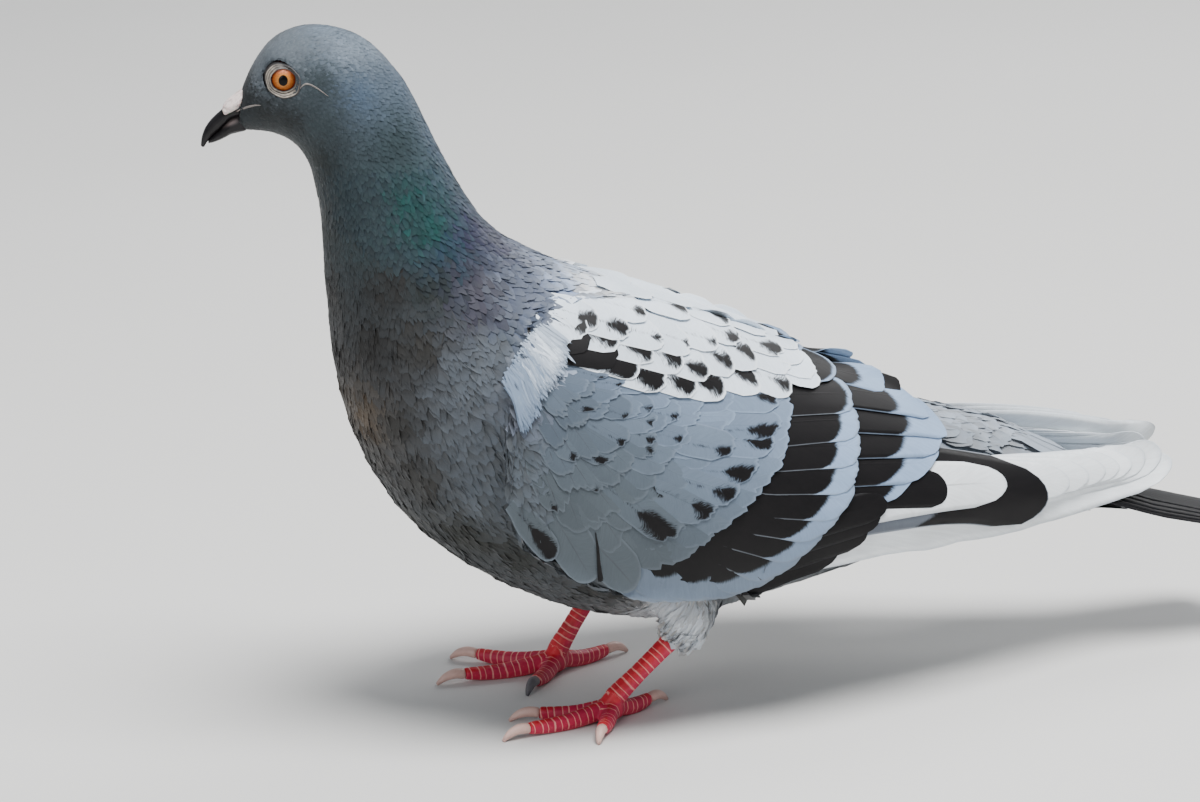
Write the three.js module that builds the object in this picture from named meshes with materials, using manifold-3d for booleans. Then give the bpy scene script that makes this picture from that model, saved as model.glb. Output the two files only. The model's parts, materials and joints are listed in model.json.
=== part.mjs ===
// A pigeon standing still with its head turned a little to its right, in life size.
// Millimetres, +Z up. The bird faces -X and its left side is towards -Y.
// The origin is on the floor, under the middle of the bird.

import * as THREE from 'three';
import { mergeVertices } from 'three/addons/utils/BufferGeometryUtils.js';
import Module from 'manifold-3d';

const wasm = await Module();
wasm.setup();

// Driving dimensions
const headTurn = 20; // degrees, towards the bird's right
const neckAxisX = -114; // the upright line that the head turns about
const gap = 0.3; // clearance between pieces that lie against each other
const eyeRadius = 5.3;
const eyeball = [-140.4, 6.9, 192]; // its centre before the head is turned, mirrored for the other eye
const shankRadius = 2.65;
const toeRadius = 2.6;
const padRadius = 3.7; // the soft pad under the joint of the toes
const padHeight = 3.4;
const clawRadius = 1.45;
const clawTipHeight = 0.35;

// How finely each kind of piece is faceted
const bodySides = 22;
const wingSteps = 10;
const toeSides = 8;
const clawSides = 8;

const left = -1;
const right = 1;

// ---------------------------------------------------------------- lofts

const mid = (x, z) => new THREE.Vector3(x, 0, z);
const radians = THREE.MathUtils.degToRad;

// A smooth line through one point of every section: place 0 is the first section, 1 the next.
function lineThrough(points) {
  const curve = new THREE.CatmullRomCurve3(points, false, 'centripetal');
  return (place) => curve.getPoint(place / (points.length - 1));
}

function places(from, to, steps) {
  return Array.from({ length: steps + 1 }, (_, i) => from + ((to - from) * i) / steps);
}

function signedVolume(points, faces) {
  let sum = 0;
  for (let i = 0; i < faces.length; i += 3) {
    const [a, b, c] = [points[faces[i]], points[faces[i + 1]], points[faces[i + 2]]];
    sum += a.dot(b.clone().cross(c));
  }
  return sum;
}

// A closed body through rings of points. Each end is closed by a ladder of faces from one side of its
// ring to the other, which suits round rings and crescents alike. Its faces are turned outwards.
function loft(rings) {
  const sides = rings[0].length;
  const points = rings.flat();
  const faces = [];
  for (let start = 0; start < points.length - sides; start += sides) {
    for (let i = 0; i < sides; i++) {
      const a = start + i;
      const b = start + ((i + 1) % sides);
      faces.push(a, b, b + sides, a, b + sides, a + sides);
    }
  }
  for (let i = 0; i < sides / 2 - 1; i++) {
    const [a, b, c, d] = [i, i + 1, sides - 2 - i, sides - 1 - i];
    faces.push(a, c, b, a, d, c);
    const end = points.length - sides;
    faces.push(end + a, end + b, end + c, end + a, end + c, end + d);
  }
  if (signedVolume(points, faces) < 0) faces.reverse();
  const geometry = new THREE.BufferGeometry().setFromPoints(points);
  geometry.setIndex(faces);
  return geometry;
}

// ---------------------------------------------------------------- solids

function solid(geometry) {
  const bare = geometry.clone();
  bare.deleteAttribute('normal');
  bare.deleteAttribute('uv');
  const merged = mergeVertices(bare);
  const vertProperties = Float32Array.from(merged.attributes.position.array);
  const triVerts = Uint32Array.from(merged.index.array);
  return new wasm.Manifold(new wasm.Mesh({ numProp: 3, vertProperties, triVerts }));
}

function geometryOf(body) {
  const mesh = body.getMesh();
  const geometry = new THREE.BufferGeometry();
  geometry.setAttribute('position', new THREE.BufferAttribute(mesh.vertProperties, 3));
  geometry.setIndex(new THREE.BufferAttribute(mesh.triVerts, 1));
  return geometry;
}

function cut(geometry, ...tools) {
  return geometryOf(tools.reduce((body, tool) => body.subtract(solid(tool)), solid(geometry)));
}

function joined(geometries) {
  return geometryOf(geometries.map(solid).reduce((whole, part) => whole.add(part)));
}

// ---------------------------------------------------------------- sections

// A section is the top and bottom of the outline on the middle plane as [x, z], and the half width there.
function sectionLines(sections) {
  return {
    last: sections.length - 1,
    top: lineThrough(sections.map((s) => mid(...s.top))),
    bottom: lineThrough(sections.map((s) => mid(...s.bottom))),
    width: lineThrough(sections.map((s) => new THREE.Vector3(s.half, s.turn ?? 0, s.droop ?? 0))),
  };
}

function turnedAboutNeck(point, degrees) {
  const reach = point.x - neckAxisX;
  const [c, s] = [Math.cos(radians(degrees)), Math.sin(radians(degrees))];
  return new THREE.Vector3(neckAxisX + reach * c + point.y * s, point.y * c - reach * s, point.z);
}

// An oval ring between the top and bottom lines. droop lowers its two sides, and grow makes it larger.
function oval(lines, place, sides, grow = 0) {
  const [top, bottom, width] = [lines.top(place), lines.bottom(place), lines.width(place)];
  const centre = top.clone().add(bottom).multiplyScalar(0.5);
  const rise = top.clone().sub(centre);
  rise.setLength(rise.length() + grow);
  return places(0, 2 * Math.PI, sides).slice(0, sides).map((angle) => {
    const across = Math.sin(angle);
    const point = centre.clone().addScaledVector(rise, Math.cos(angle));
    point.y = (width.x + grow) * across;
    point.z -= width.z * across * across;
    return turnedAboutNeck(point, width.y);
  });
}

function ovalLoft(lines, from, to, steps, sides, grow = 0) {
  return loft(places(from, to, steps).map((place) => oval(lines, place, sides, grow)));
}

// ---------------------------------------------------------------- head, neck and trunk

const face = 0;
const headEnd = 5.5;
const neckEnd = 9.4;
const partingCut = 0.07; // of the way to the next section, at least the gap where sections lie closest

const body = sectionLines([
  { top: [-152.6, 187.0], bottom: [-153.7, 175.2], half: 4.8, turn: headTurn }, // bill root
  { top: [-149.4, 194.2], bottom: [-148.3, 175.2], half: 7.4, turn: headTurn }, // lores
  { top: [-143.7, 201.8], bottom: [-143.0, 174.4], half: 11.0, turn: headTurn }, // eyes
  { top: [-135.7, 205.4], bottom: [-138.8, 172.4], half: 13.0, turn: headTurn }, // crown
  { top: [-125.9, 205.0], bottom: [-136.2, 169.9], half: 14.0, turn: headTurn }, // back of the crown
  { top: [-116.7, 201.0], bottom: [-134.3, 166.6], half: 14.4, turn: headTurn }, // back of the head
  { top: [-107.2, 190.6], bottom: [-132.6, 160.4], half: 15.2, turn: 0.85 * headTurn }, // nape
  { top: [-100.0, 176.0], bottom: [-131.2, 153.2], half: 16.8, turn: 0.6 * headTurn }, // upper neck
  { top: [-94.4, 164.8], bottom: [-130.6, 146.0], half: 18.6, turn: 0.35 * headTurn }, // middle of the neck
  { top: [-83.4, 147.2], bottom: [-129.8, 131.0], half: 22.5, turn: 0.1 * headTurn }, // foot of the neck
  { top: [-66.2, 135.6], bottom: [-127.2, 107.5], half: 30.5 }, // shoulders
  { top: [-50.0, 128.4], bottom: [-121.0, 83.5], half: 37.0 }, // breast
  { top: [-33.0, 121.2], bottom: [-107.0, 60.5], half: 40.0 }, // chest
  { top: [-15.0, 112.6], bottom: [-85.0, 41.8], half: 40.5 }, // keel
  { top: [4.0, 102.6], bottom: [-58.0, 28.6], half: 38.5 }, // belly
  { top: [22.0, 93.0], bottom: [-30.2, 23.4], half: 35.0 }, // flanks
  { top: [40.0, 84.4], bottom: [-3.3, 27.0], half: 30.0 }, // vent
  { top: [59.2, 78.2], bottom: [22.0, 32.0], half: 25.0 }, // rump
  { top: [78.8, 72.0], bottom: [48.0, 37.2], half: 20.5 }, // root of the tail
  { top: [97.0, 61.6], bottom: [86.0, 44.6], half: 17.5 }, // end of the tail coverts
]);

const grownBody = ovalLoft(body, face, body.last, 40, bodySides, gap);

function head() {
  const shell = ovalLoft(body, face, headEnd, 12, bodySides);
  return cut(shell, eye(left, eyeRadius + gap), eye(right, eyeRadius + gap));
}

function neck() {
  return ovalLoft(body, headEnd + partingCut, neckEnd, 8, bodySides);
}

function trunk() {
  return ovalLoft(body, neckEnd + partingCut, body.last, 20, bodySides);
}

function eye(side, radius) {
  const ball = new THREE.SphereGeometry(radius, 14, 10);
  const centre = turnedAboutNeck(new THREE.Vector3(eyeball[0], side * eyeball[1], eyeball[2]), headTurn);
  return ball.translate(...centre);
}

// ---------------------------------------------------------------- bill

const turned = (section) => ({ ...section, turn: headTurn });

const upperBillLines = sectionLines([
  { top: [-153.6, 184.9], bottom: [-154.2, 180.5], half: 2.9 },
  { top: [-157.6, 181.2], bottom: [-157.1, 177.5], half: 2.6 },
  { top: [-160.9, 178.2], bottom: [-159.5, 175.2], half: 2.1 },
  { top: [-162.7, 175.6], bottom: [-161.7, 173.2], half: 1.5 },
  { top: [-163.6, 173.0], bottom: [-162.9, 171.7], half: 0.8 },
  { top: [-163.9, 170.9], bottom: [-163.5, 170.6], half: 0.4 },
].map(turned));

const lowerBillLines = sectionLines([
  { top: [-154.2, 179.8], bottom: [-154.3, 175.4], half: 3.3 },
  { top: [-157.0, 176.8], bottom: [-157.4, 173.5], half: 2.4 },
  { top: [-159.7, 174.4], bottom: [-160.1, 172.3], half: 1.7 },
  { top: [-161.7, 172.5], bottom: [-161.9, 171.7], half: 0.7 },
].map(turned));

const cereLines = sectionLines([
  { top: [-153.7, 186.8], bottom: [-154.0, 180.8], half: 3.9 },
  { top: [-155.4, 185.4], bottom: [-155.4, 179.6], half: 4.3 },
  { top: [-157.2, 183.3], bottom: [-156.9, 178.7], half: 3.9 },
  { top: [-158.6, 181.6], bottom: [-158.0, 178.2], half: 3.1 },
].map(turned));

const upperBill = (grow = 0) => ovalLoft(upperBillLines, 0, upperBillLines.last, 10, 12, grow);
const lowerBill = () => ovalLoft(lowerBillLines, 0, lowerBillLines.last, 6, 12);
const cere = () => cut(ovalLoft(cereLines, 0, cereLines.last, 6, 14), upperBill(gap));

// ---------------------------------------------------------------- tail

const tailLines = sectionLines([
  { top: [97.5, 61.2], bottom: [86.6, 44.3], half: 17.0, droop: 0 },
  { top: [109.0, 53.0], bottom: [104.0, 42.6], half: 17.5, droop: 1 },
  { top: [126.0, 46.0], bottom: [124.0, 40.2], half: 18.8, droop: 2 },
  { top: [144.0, 40.4], bottom: [143.0, 36.4], half: 20.0, droop: 3 },
  { top: [155.0, 37.2], bottom: [154.4, 34.2], half: 19.2, droop: 3 },
  { top: [160.9, 35.0], bottom: [160.5, 33.2], half: 15.0, droop: 2 },
]);

const tail = () => ovalLoft(tailLines, 0, tailLines.last, 9, bodySides);

// ---------------------------------------------------------------- wings

// The folded wing from its front edge to the tips of its flight feathers. Each section runs from the
// edge by the back to the edge by the belly, both as [x, distance from the middle plane, z]. side is how
// far it bulges from the middle plane, lead how far it bulges forwards, roof how steeply it leaves the
// edge by the back, thick its thickness.
const wingSections = [
  { top: [-73, 27, 127.6], bottom: [-80, 39, 58.0], side: 44.0, lead: -14, roof: 0.5, thick: 5.0 }, // front edge
  { top: [-54, 20, 128.2], bottom: [-64, 41, 46.5], side: 48.0, lead: -7, roof: 0.4, thick: 9.0 },
  { top: [-30, 13, 121.6], bottom: [-36, 40, 40.5], side: 50.0, lead: -3, roof: 0.4, thick: 9.5 },
  { top: [-2, 8, 110.5], bottom: [-8, 38, 39.8], side: 50.0, lead: 0, roof: 0.4, thick: 9.5 },
  { top: [22, 7, 100.0], bottom: [18, 36, 41.0], side: 46.5, lead: 2, roof: 0.4, thick: 8.0 },
  { top: [38, 12, 91.5], bottom: [44, 32, 41.0], side: 41.5, lead: 4, roof: 0.42, thick: 6.0 },
  { top: [53, 20, 78.5], bottom: [62, 28, 42.2], side: 36.0, lead: 3, roof: 0.42, thick: 4.5 },
  { top: [71, 19, 71.0], bottom: [81, 24, 44.4], side: 30.0, lead: 1, roof: 0.42, thick: 3.6 },
  { top: [92, 14, 68.0], bottom: [102, 20.5, 48.4], side: 23.0, lead: 0, roof: 0.42, thick: 3.0 },
  { top: [115, 8.5, 64.5], bottom: [121, 14, 51.4], side: 15.0, lead: 0, roof: 0.42, thick: 2.4 },
  { top: [130, 5.5, 60.0], bottom: [132, 9, 55.4], side: 8.6, lead: 0, roof: 0.42, thick: 1.6 }, // tip
];
const edgeShare = 0.45; // thickness at the edges as a share of the thickness in the middle

const wingTop = lineThrough(wingSections.map((s) => new THREE.Vector3(...s.top)));
const wingBottom = lineThrough(wingSections.map((s) => new THREE.Vector3(...s.bottom)));
const wingForm = lineThrough(wingSections.map((s) => new THREE.Vector3(s.side, s.lead, s.thick)));
const wingRoof = lineThrough(wingSections.map((s) => mid(s.roof, 0)));

function wingSection(place, side) {
  const [top, bottom, form] = [wingTop(place), wingBottom(place), wingForm(place)];
  const handle = (8 * form.x - top.y - bottom.y) / 6; // takes the middle of the curve out to form.x
  const lead = (4 / 3) * form.y;
  const upper = new THREE.Vector3(top.x + lead, handle, top.z - wingRoof(place).x * (handle - top.y));
  const lower = new THREE.Vector3(bottom.x + lead, handle, bottom.z);
  const outline = new THREE.CubicBezierCurve3(top, upper, lower, bottom);
  const middleHeight = (top.z + bottom.z) / 2;
  const outer = places(0, 1, wingSteps).map((t) => outline.getPoint(t));
  const inner = outer.map((point, i) => {
    const inwards = new THREE.Vector3(0, -point.y, middleHeight - point.z).normalize();
    const fullness = Math.sin((Math.PI * i) / wingSteps);
    return point.clone().addScaledVector(inwards, form.z * (edgeShare + (1 - edgeShare) * fullness));
  });
  const ring = [...outer, ...inner.reverse()];
  ring.forEach((point) => (point.y *= side));
  return ring;
}

function wing(side) {
  const blade = loft(places(0, wingSections.length - 1, 18).map((place) => wingSection(place, side)));
  return cut(blade, grownBody);
}

// ---------------------------------------------------------------- legs

const legs = {
  left: {
    side: left,
    ankle: [-31.6, -23, 24.5],
    joint: [-52.6, -23, 6],
    toes: {
      inner: { heading: -16, reach: 21, claw: 8.5 },
      middle: { heading: 12, reach: 28, claw: 8.5 },
      outer: { heading: 60, reach: 15.5, claw: 6.5 },
      hind: { heading: 206, reach: 15.5, claw: 7.5 },
    },
  },
  right: {
    side: right,
    ankle: [-39, 23, 28.5],
    joint: [-53.5, 23, 6],
    toes: {
      inner: { heading: 50, reach: 17, claw: 7 },
      middle: { heading: 0, reach: 28.5, claw: 8.5 },
      outer: { heading: -40, reach: 25, claw: 8.5 },
      hind: { heading: 200, reach: 19.5, claw: 8 },
    },
  },
};

// A round tube along a line, its radius given at each step. Rings lie square to the line.
function tube(points, radii, steps, sides) {
  const line = lineThrough(points);
  const radius = lineThrough(radii.map((r) => mid(r, 0)));
  const last = points.length - 1;
  const rings = places(0, last, steps).map((place) => {
    const ahead = line(Math.min(place + 0.01, last)).sub(line(Math.max(place - 0.01, 0))).normalize();
    const across = new THREE.Vector3(0, 0, 1).cross(ahead).normalize();
    const upwards = ahead.clone().cross(across);
    const centre = line(place);
    const r = radius(place).x;
    return places(0, 2 * Math.PI, sides).slice(0, sides).map((angle) =>
      centre.clone().addScaledVector(across, r * Math.cos(angle)).addScaledVector(upwards, r * Math.sin(angle)));
  });
  return loft(rings);
}

// Where a toe lies: a share of the way along it from the foot's joint, and a height above the floor.
function alongToe(leg, toe, distance, height) {
  const heading = radians(toe.heading);
  const [x, y] = leg.joint;
  return new THREE.Vector3(x - distance * Math.cos(heading), y - distance * Math.sin(heading), height);
}

function toe(leg, { reach, ...rest }) {
  const at = (share, height) => alongToe(leg, rest, reach * share, height);
  const line = [at(0, leg.joint[2] - 2), at(0.22, 3.0), at(0.45, 2.1), at(0.72, 1.9), at(1, 2.5)];
  const radii = [1.05, 1, 0.95, 0.86, 0.66].map((share) => toeRadius * share);
  return tube(line, radii, 7, toeSides);
}

function claw(leg, toeOf) {
  const { reach, claw: length } = toeOf;
  const start = reach + gap;
  const at = (share, height) => alongToe(leg, toeOf, start + length * share, height);
  const line = [at(0, 2.6), at(0.35, 3.0), at(0.72, 2.1), at(1, clawTipHeight)];
  return tube(line, [1, 0.95, 0.68, 0.2].map((share) => clawRadius * share), 6, clawSides);
}

// A point on the way from the foot's joint up to the ankle.
function upShank(leg, share) {
  return new THREE.Vector3(...leg.joint).lerp(new THREE.Vector3(...leg.ankle), share);
}

const footTop = 0.14; // share of the shank that is part of the foot
const featherHem = 0.86; // share of the shank where the leg's feathers begin
const shankCut = gap / 28; // the gap as a share of the shank's length

function foot(leg) {
  const heel = tube(
    [upShank(leg, -0.06), upShank(leg, 0.05), upShank(leg, footTop)],
    [2.4, 3.0, shankRadius + 0.3],
    4,
    toeSides,
  );
  const pad = new THREE.SphereGeometry(padRadius, 8, 6).translate(leg.joint[0], leg.joint[1], padHeight);
  const floor = new THREE.BoxGeometry(160, 160, 20).translate(leg.joint[0], leg.joint[1], -10);
  return cut(joined([heel, pad, ...Object.values(leg.toes).map((each) => toe(leg, each))]), floor);
}

function shank(leg, grow = 0) {
  const top = 1 + (grow ? shankCut : 0);
  const line = [footTop + shankCut, 0.4, 0.75, top].map((share) => upShank(leg, share));
  return tube(line, [1.12, 0.96, 1, 1.2].map((share) => shankRadius * share + grow), 6, toeSides);
}

// The feathered part of the leg, from inside the belly down to the ankle.
function thigh(leg) {
  const [x, y, z] = leg.ankle;
  const line = [
    new THREE.Vector3(x + 4, y - 4 * leg.side, z + 17),
    new THREE.Vector3(x + 3, y - 2 * leg.side, z + 8),
    new THREE.Vector3(x + 0.8, y, z + 1),
    upShank(leg, featherHem),
  ];
  return cut(tube(line, [10, 9.5, 7.4, 4.4], 7, 12), grownBody, shank(leg, gap));
}

// ---------------------------------------------------------------- the bird

const looks = {
  slate: { color: '#5f6b77', roughness: 0.75 },
  neck: { color: '#4a5a5e', roughness: 0.5 },
  trunk: { color: '#5c6068', roughness: 0.8 },
  wing: { color: '#a9b5c4', roughness: 0.8 },
  tail: { color: '#2b2e35', roughness: 0.7 },
  down: { color: '#d9dce0', roughness: 0.9 },
  leg: { color: '#b4233a', roughness: 0.5 },
  claw: { color: '#c09890', roughness: 0.4 },
  bill: { color: '#2b292b', roughness: 0.35 },
  cere: { color: '#dccfcd', roughness: 0.7 },
  eye: { color: '#c8722c', roughness: 0.05 },
};

const pigeon = new THREE.Group();
pigeon.name = 'pigeon';

function place(name, geometry, look) {
  const mesh = new THREE.Mesh(geometry, new THREE.MeshStandardMaterial({ metalness: 0, ...looks[look] }));
  mesh.name = name;
  pigeon.add(mesh);
}

place('head', head(), 'slate');
place('neck', neck(), 'neck');
place('trunk', trunk(), 'trunk');
place('tail', tail(), 'tail');
place('upper_bill', upperBill(), 'bill');
place('lower_bill', lowerBill(), 'bill');
place('cere', cere(), 'cere');

for (const [name, leg] of Object.entries(legs)) {
  place(`${name}_eye`, eye(leg.side, eyeRadius), 'eye');
  place(`${name}_wing`, wing(leg.side), 'wing');
  place(`${name}_thigh`, thigh(leg), 'down');
  place(`${name}_shank`, shank(leg), 'leg');
  place(`${name}_foot`, foot(leg), 'leg');
  for (const [position, each] of Object.entries(leg.toes)) {
    place(`${name}_${position}_claw`, claw(leg, each), 'claw');
  }
}

export default pigeon;
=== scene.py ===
import math
import bpy
import numpy as np
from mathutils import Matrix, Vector, kdtree
from mathutils.bvhtree import BVHTree
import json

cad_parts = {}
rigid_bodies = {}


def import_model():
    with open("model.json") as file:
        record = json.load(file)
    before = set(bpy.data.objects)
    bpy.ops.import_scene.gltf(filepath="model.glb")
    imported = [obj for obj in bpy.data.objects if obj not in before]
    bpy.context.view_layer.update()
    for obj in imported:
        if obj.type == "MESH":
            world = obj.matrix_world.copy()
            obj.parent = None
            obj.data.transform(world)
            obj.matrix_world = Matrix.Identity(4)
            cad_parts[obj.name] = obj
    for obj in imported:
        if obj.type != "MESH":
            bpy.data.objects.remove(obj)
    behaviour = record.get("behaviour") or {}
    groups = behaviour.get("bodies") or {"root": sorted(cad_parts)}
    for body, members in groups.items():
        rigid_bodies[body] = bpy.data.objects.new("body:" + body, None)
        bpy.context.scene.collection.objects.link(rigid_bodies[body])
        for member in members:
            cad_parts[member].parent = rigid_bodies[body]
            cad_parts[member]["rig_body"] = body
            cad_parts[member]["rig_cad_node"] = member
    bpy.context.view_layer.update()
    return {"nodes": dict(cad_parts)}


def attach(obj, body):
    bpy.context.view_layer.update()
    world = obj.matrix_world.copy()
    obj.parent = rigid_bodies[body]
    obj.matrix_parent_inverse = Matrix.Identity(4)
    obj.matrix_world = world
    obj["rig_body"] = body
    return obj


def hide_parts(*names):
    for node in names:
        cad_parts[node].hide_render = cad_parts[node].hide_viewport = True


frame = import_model()
nodes = frame["nodes"]
mm = 0.001
print("frame loaded, pieces:", len(nodes))


# small helpers for objects and arrays

def pick(*objects):                              # only these are selected, the last one is active
    bpy.ops.object.select_all(action="DESELECT")
    for piece in objects:
        piece.select_set(True)
    bpy.context.view_layer.objects.active = objects[-1]


def editAll(piece):
    pick(piece)
    bpy.ops.object.mode_set(mode="EDIT")
    bpy.ops.mesh.select_all(action="SELECT")


def editDone():
    bpy.ops.object.mode_set(mode="OBJECT")


def copyOf(pieceName, *nodeNames):               # CAD nodes copied, joined and merged
    pick(*[nodes[n] for n in nodeNames])
    bpy.ops.object.duplicate()
    bpy.ops.object.parent_clear(type="CLEAR_KEEP_TRANSFORM")
    if len(nodeNames) > 1:
        bpy.ops.object.join()
    piece = bpy.context.view_layer.objects.active
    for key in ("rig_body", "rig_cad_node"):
        if key in piece:
            del piece[key]
    piece.name = pieceName
    piece.data.name = pieceName
    piece.data.materials.clear()
    editAll(piece)
    bpy.ops.mesh.remove_doubles(threshold=0.002 * mm)
    editDone()
    return piece


def joinAs(pieceName, *pieces):
    pick(*pieces)
    bpy.ops.object.join()
    piece = bpy.context.view_layer.objects.active
    piece.name = pieceName
    piece.data.name = pieceName
    return piece


def modify(piece, kind, **settings):
    pick(piece)
    added = piece.modifiers.new(kind.lower(), kind)
    for key, value in settings.items():
        setattr(added, key, value)
    bpy.ops.object.modifier_apply(modifier=added.name)


def swellBy(piece, amount):
    modify(piece, "DISPLACE", strength=amount, mid_level=0)


def melt(piece, voxel, turns):                   # one even closed mesh with its edges rounded off
    modify(piece, "REMESH", mode="VOXEL", voxel_size=voxel, adaptivity=0)
    modify(piece, "SMOOTH", factor=0.5, iterations=turns)


def settle(piece):                               # the object's place goes into its mesh
    pick(piece)
    bpy.ops.object.transform_apply(location=True, rotation=True, scale=True)


def faceOut(piece):
    editAll(piece)
    bpy.ops.mesh.normals_make_consistent(inside=False)
    editDone()


def smooth(piece):
    pick(piece)
    bpy.ops.object.shade_smooth()


def pointsOf(piece, kind="co"):                  # places of the vertices, or their normals
    out = np.zeros(len(piece.data.vertices) * 3, np.float32)
    piece.data.vertices.foreach_get(kind, out)
    return out.reshape(-1, 3).astype(float)


def setPoints(piece, points):
    piece.data.vertices.foreach_set("co", points.astype(np.float32).ravel())
    piece.data.update()


def paint(piece, title, *columns):               # a colour attribute of the vertices
    shown = np.ones((len(piece.data.vertices), 4), np.float32)
    filled = np.column_stack(columns)
    shown[:, :filled.shape[1]] = filled
    layer = piece.data.attributes.new(title, "FLOAT_COLOR", "POINT")
    layer.data.foreach_set("color", shown.ravel())


def hand(piece, material, slot, *replaced):      # finish and body of a piece
    piece.data.materials.clear()
    piece.data.materials.append(material)
    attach(piece, "root")
    if replaced:
        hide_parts(*replaced)


def unit(vectors):
    return vectors / np.maximum(np.linalg.norm(vectors, axis=-1, keepdims=True), 1e-12)


def ease(values, low, high):                     # 0 below low, 1 above high
    share = np.clip((values - low) / (high - low), 0, 1)
    return share * share * (3 - 2 * share)


def mixed(first, second, share):
    return first * (1 - share) + second * share


def colour(red, green, blue):                    # screen values 0-255 to linear light
    shares = np.array([red, green, blue], float) / 255
    return np.where(shares <= 0.04045, shares / 12.92, ((shares + 0.055) / 1.055) ** 2.4)


def rgba(*screen):
    return (*colour(*screen), 1.0)


# shader sums

class Wire:                                      # a node's output that can stand in a sum
    def __init__(self, finish, socket):
        self.finish = finish
        self.socket = socket

    def maths(self, operation, first, second=0.0):
        return self.finish.node("ShaderNodeMath", {"operation": operation}, {0: first, 1: second})

    def __abs__(self):
        return self.maths("ABSOLUTE", self)

    def between(self, low, high):                # 0 at low, 1 at high
        return self.finish.node("ShaderNodeMapRange", {"interpolation_type": "SMOOTHSTEP"},
                                {0: self, 1: low, 2: high})

    def orMore(self, other):
        return self.maths("MAXIMUM", self, other)

    def parts(self):
        split = self.finish.node("ShaderNodeSeparateXYZ", None, {0: self}).socket.node
        return [Wire(self.finish, output) for output in split.outputs]


for title, sign in (("add", "ADD"), ("sub", "SUBTRACT"), ("mul", "MULTIPLY"), ("truediv", "DIVIDE"),
                    ("pow", "POWER")):           # a + b, 1 - a and so on
    setattr(Wire, f"__{title}__", lambda self, other, sign=sign: self.maths(sign, self, other))
    setattr(Wire, f"__r{title}__", lambda self, other, sign=sign: self.maths(sign, other, self))


class Finish:                                    # one material
    def __init__(self, name, **constants):
        self.material = bpy.data.materials.new(name)
        self.material.use_nodes = True
        self.tree = self.material.node_tree
        self.shader = self.tree.nodes["Principled BSDF"]
        for socket, value in constants.items():
            self.feed(self.shader.inputs[socket.replace("_", " ")], value)

    def feed(self, socket, value):
        if isinstance(value, Wire):
            self.tree.links.new(value.socket, socket)
        else:
            socket.default_value = value

    def node(self, kind, settings=None, inputs=None, output=0):
        made = self.tree.nodes.new(kind)
        for key, value in (settings or {}).items():
            setattr(made, key, value)
        for key, value in (inputs or {}).items():
            self.feed(made.inputs[key], value)
        return Wire(self, made.outputs[output])

    def blend(self, share, first, second, kind="MIX"):
        return self.node("ShaderNodeMix", {"data_type": "RGBA", "blend_type": kind},
                         {0: share, 6: first, 7: second}, 2)

    def lit(self, shade, light):                 # a colour made lighter or darker
        return self.blend(1.0, shade, self.vector(light, light, light), "MULTIPLY")

    def place(self):                             # object coordinates
        return self.node("ShaderNodeTexCoord", output=3)

    def noise(self, where, scale, detail=2.0):
        return self.node("ShaderNodeTexNoise", None, {"Vector": where, "Scale": scale, "Detail": detail})

    def vector(self, x, y, z):
        return self.node("ShaderNodeCombineXYZ", None, {0: x, 1: y, 2: z})

    def attribute(self, name, output=0):
        return self.node("ShaderNodeAttribute", {"attribute_name": name}, None, output)

    def uv(self, name):
        return self.node("ShaderNodeUVMap", {"uv_map": name})

    def bump(self, height, strength=0.3, distance=0.1 * mm):
        return self.node("ShaderNodeBump", None,
                         {"Height": height, "Strength": strength, "Distance": distance})

    def ready(self, **varying):
        for socket, value in varying.items():
            self.feed(self.shader.inputs[socket.replace("_", " ")], value)
        return self.material


# camera, floor and lights

stand = {"azimuth": -20, "elevation": 16, "distance": 1.5, "focal": 155.2, "aim": (-0.0479, 0, 0.0895)}


def makeCamera():
    turn = math.radians(stand["azimuth"])
    rise = math.radians(stand["elevation"])
    back = Vector((math.sin(turn) * math.cos(rise), -math.cos(turn) * math.cos(rise), math.sin(rise)))
    bpy.ops.object.camera_add(location=Vector(stand["aim"]) + back * stand["distance"],
                              rotation=(math.pi / 2 - rise, 0, turn))
    camera = bpy.context.object
    camera.data.lens = stand["focal"]
    camera.data.sensor_width = 36
    camera.data.clip_start = 0.01
    bpy.context.scene.camera = camera


studio = {
    "floor": 6,
    "sky": 0.35,
    "air": (0.86, 0.92, 1.0, 1),
    "tones": (rgba(214, 213, 210), rgba(224, 223, 221)),
    "lamps": [                                   # place, what it looks at, size, watts
        ((0.1, -0.35, 1.6), (-0.02, 0, 0.1), 0.9, 52),
        ((-1.2, -1.1, 0.7), (-0.05, 0, 0.1), 0.9, 7),
        ((0.9, 0.7, 0.9), (0, 0, 0.1), 0.8, 8),
    ],
}


def makeStudio():
    bpy.ops.mesh.primitive_plane_add(size=studio["floor"], location=(0, 0, 0))
    floor = bpy.context.object
    floor.name = "studioFloor"
    pale = Finish("paleFloor", Roughness=0.8)
    cloud = pale.noise(pale.place(), 3)
    pale.ready(Base_Color=pale.blend(cloud, *studio["tones"]))
    floor.data.materials.append(pale.material)
    for place, target, size, watts in studio["lamps"]:
        bpy.ops.object.light_add(type="AREA", location=place)
        lamp = bpy.context.object
        lamp.data.shape = "DISK"
        lamp.data.size = size
        lamp.data.energy = watts
        lamp.rotation_euler = (Vector(place) - Vector(target)).to_track_quat("Z", "Y").to_euler()
    world = bpy.data.worlds.new("studioAir")
    bpy.context.scene.world = world
    world.use_nodes = True
    for number, key in enumerate(("air", "sky")):
        world.node_tree.nodes["Background"].inputs[number].default_value = studio[key]


makeCamera()
makeStudio()
print("camera, floor and lights set")


# the outside of the plumage, from the solids, and the skin inside it

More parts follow.
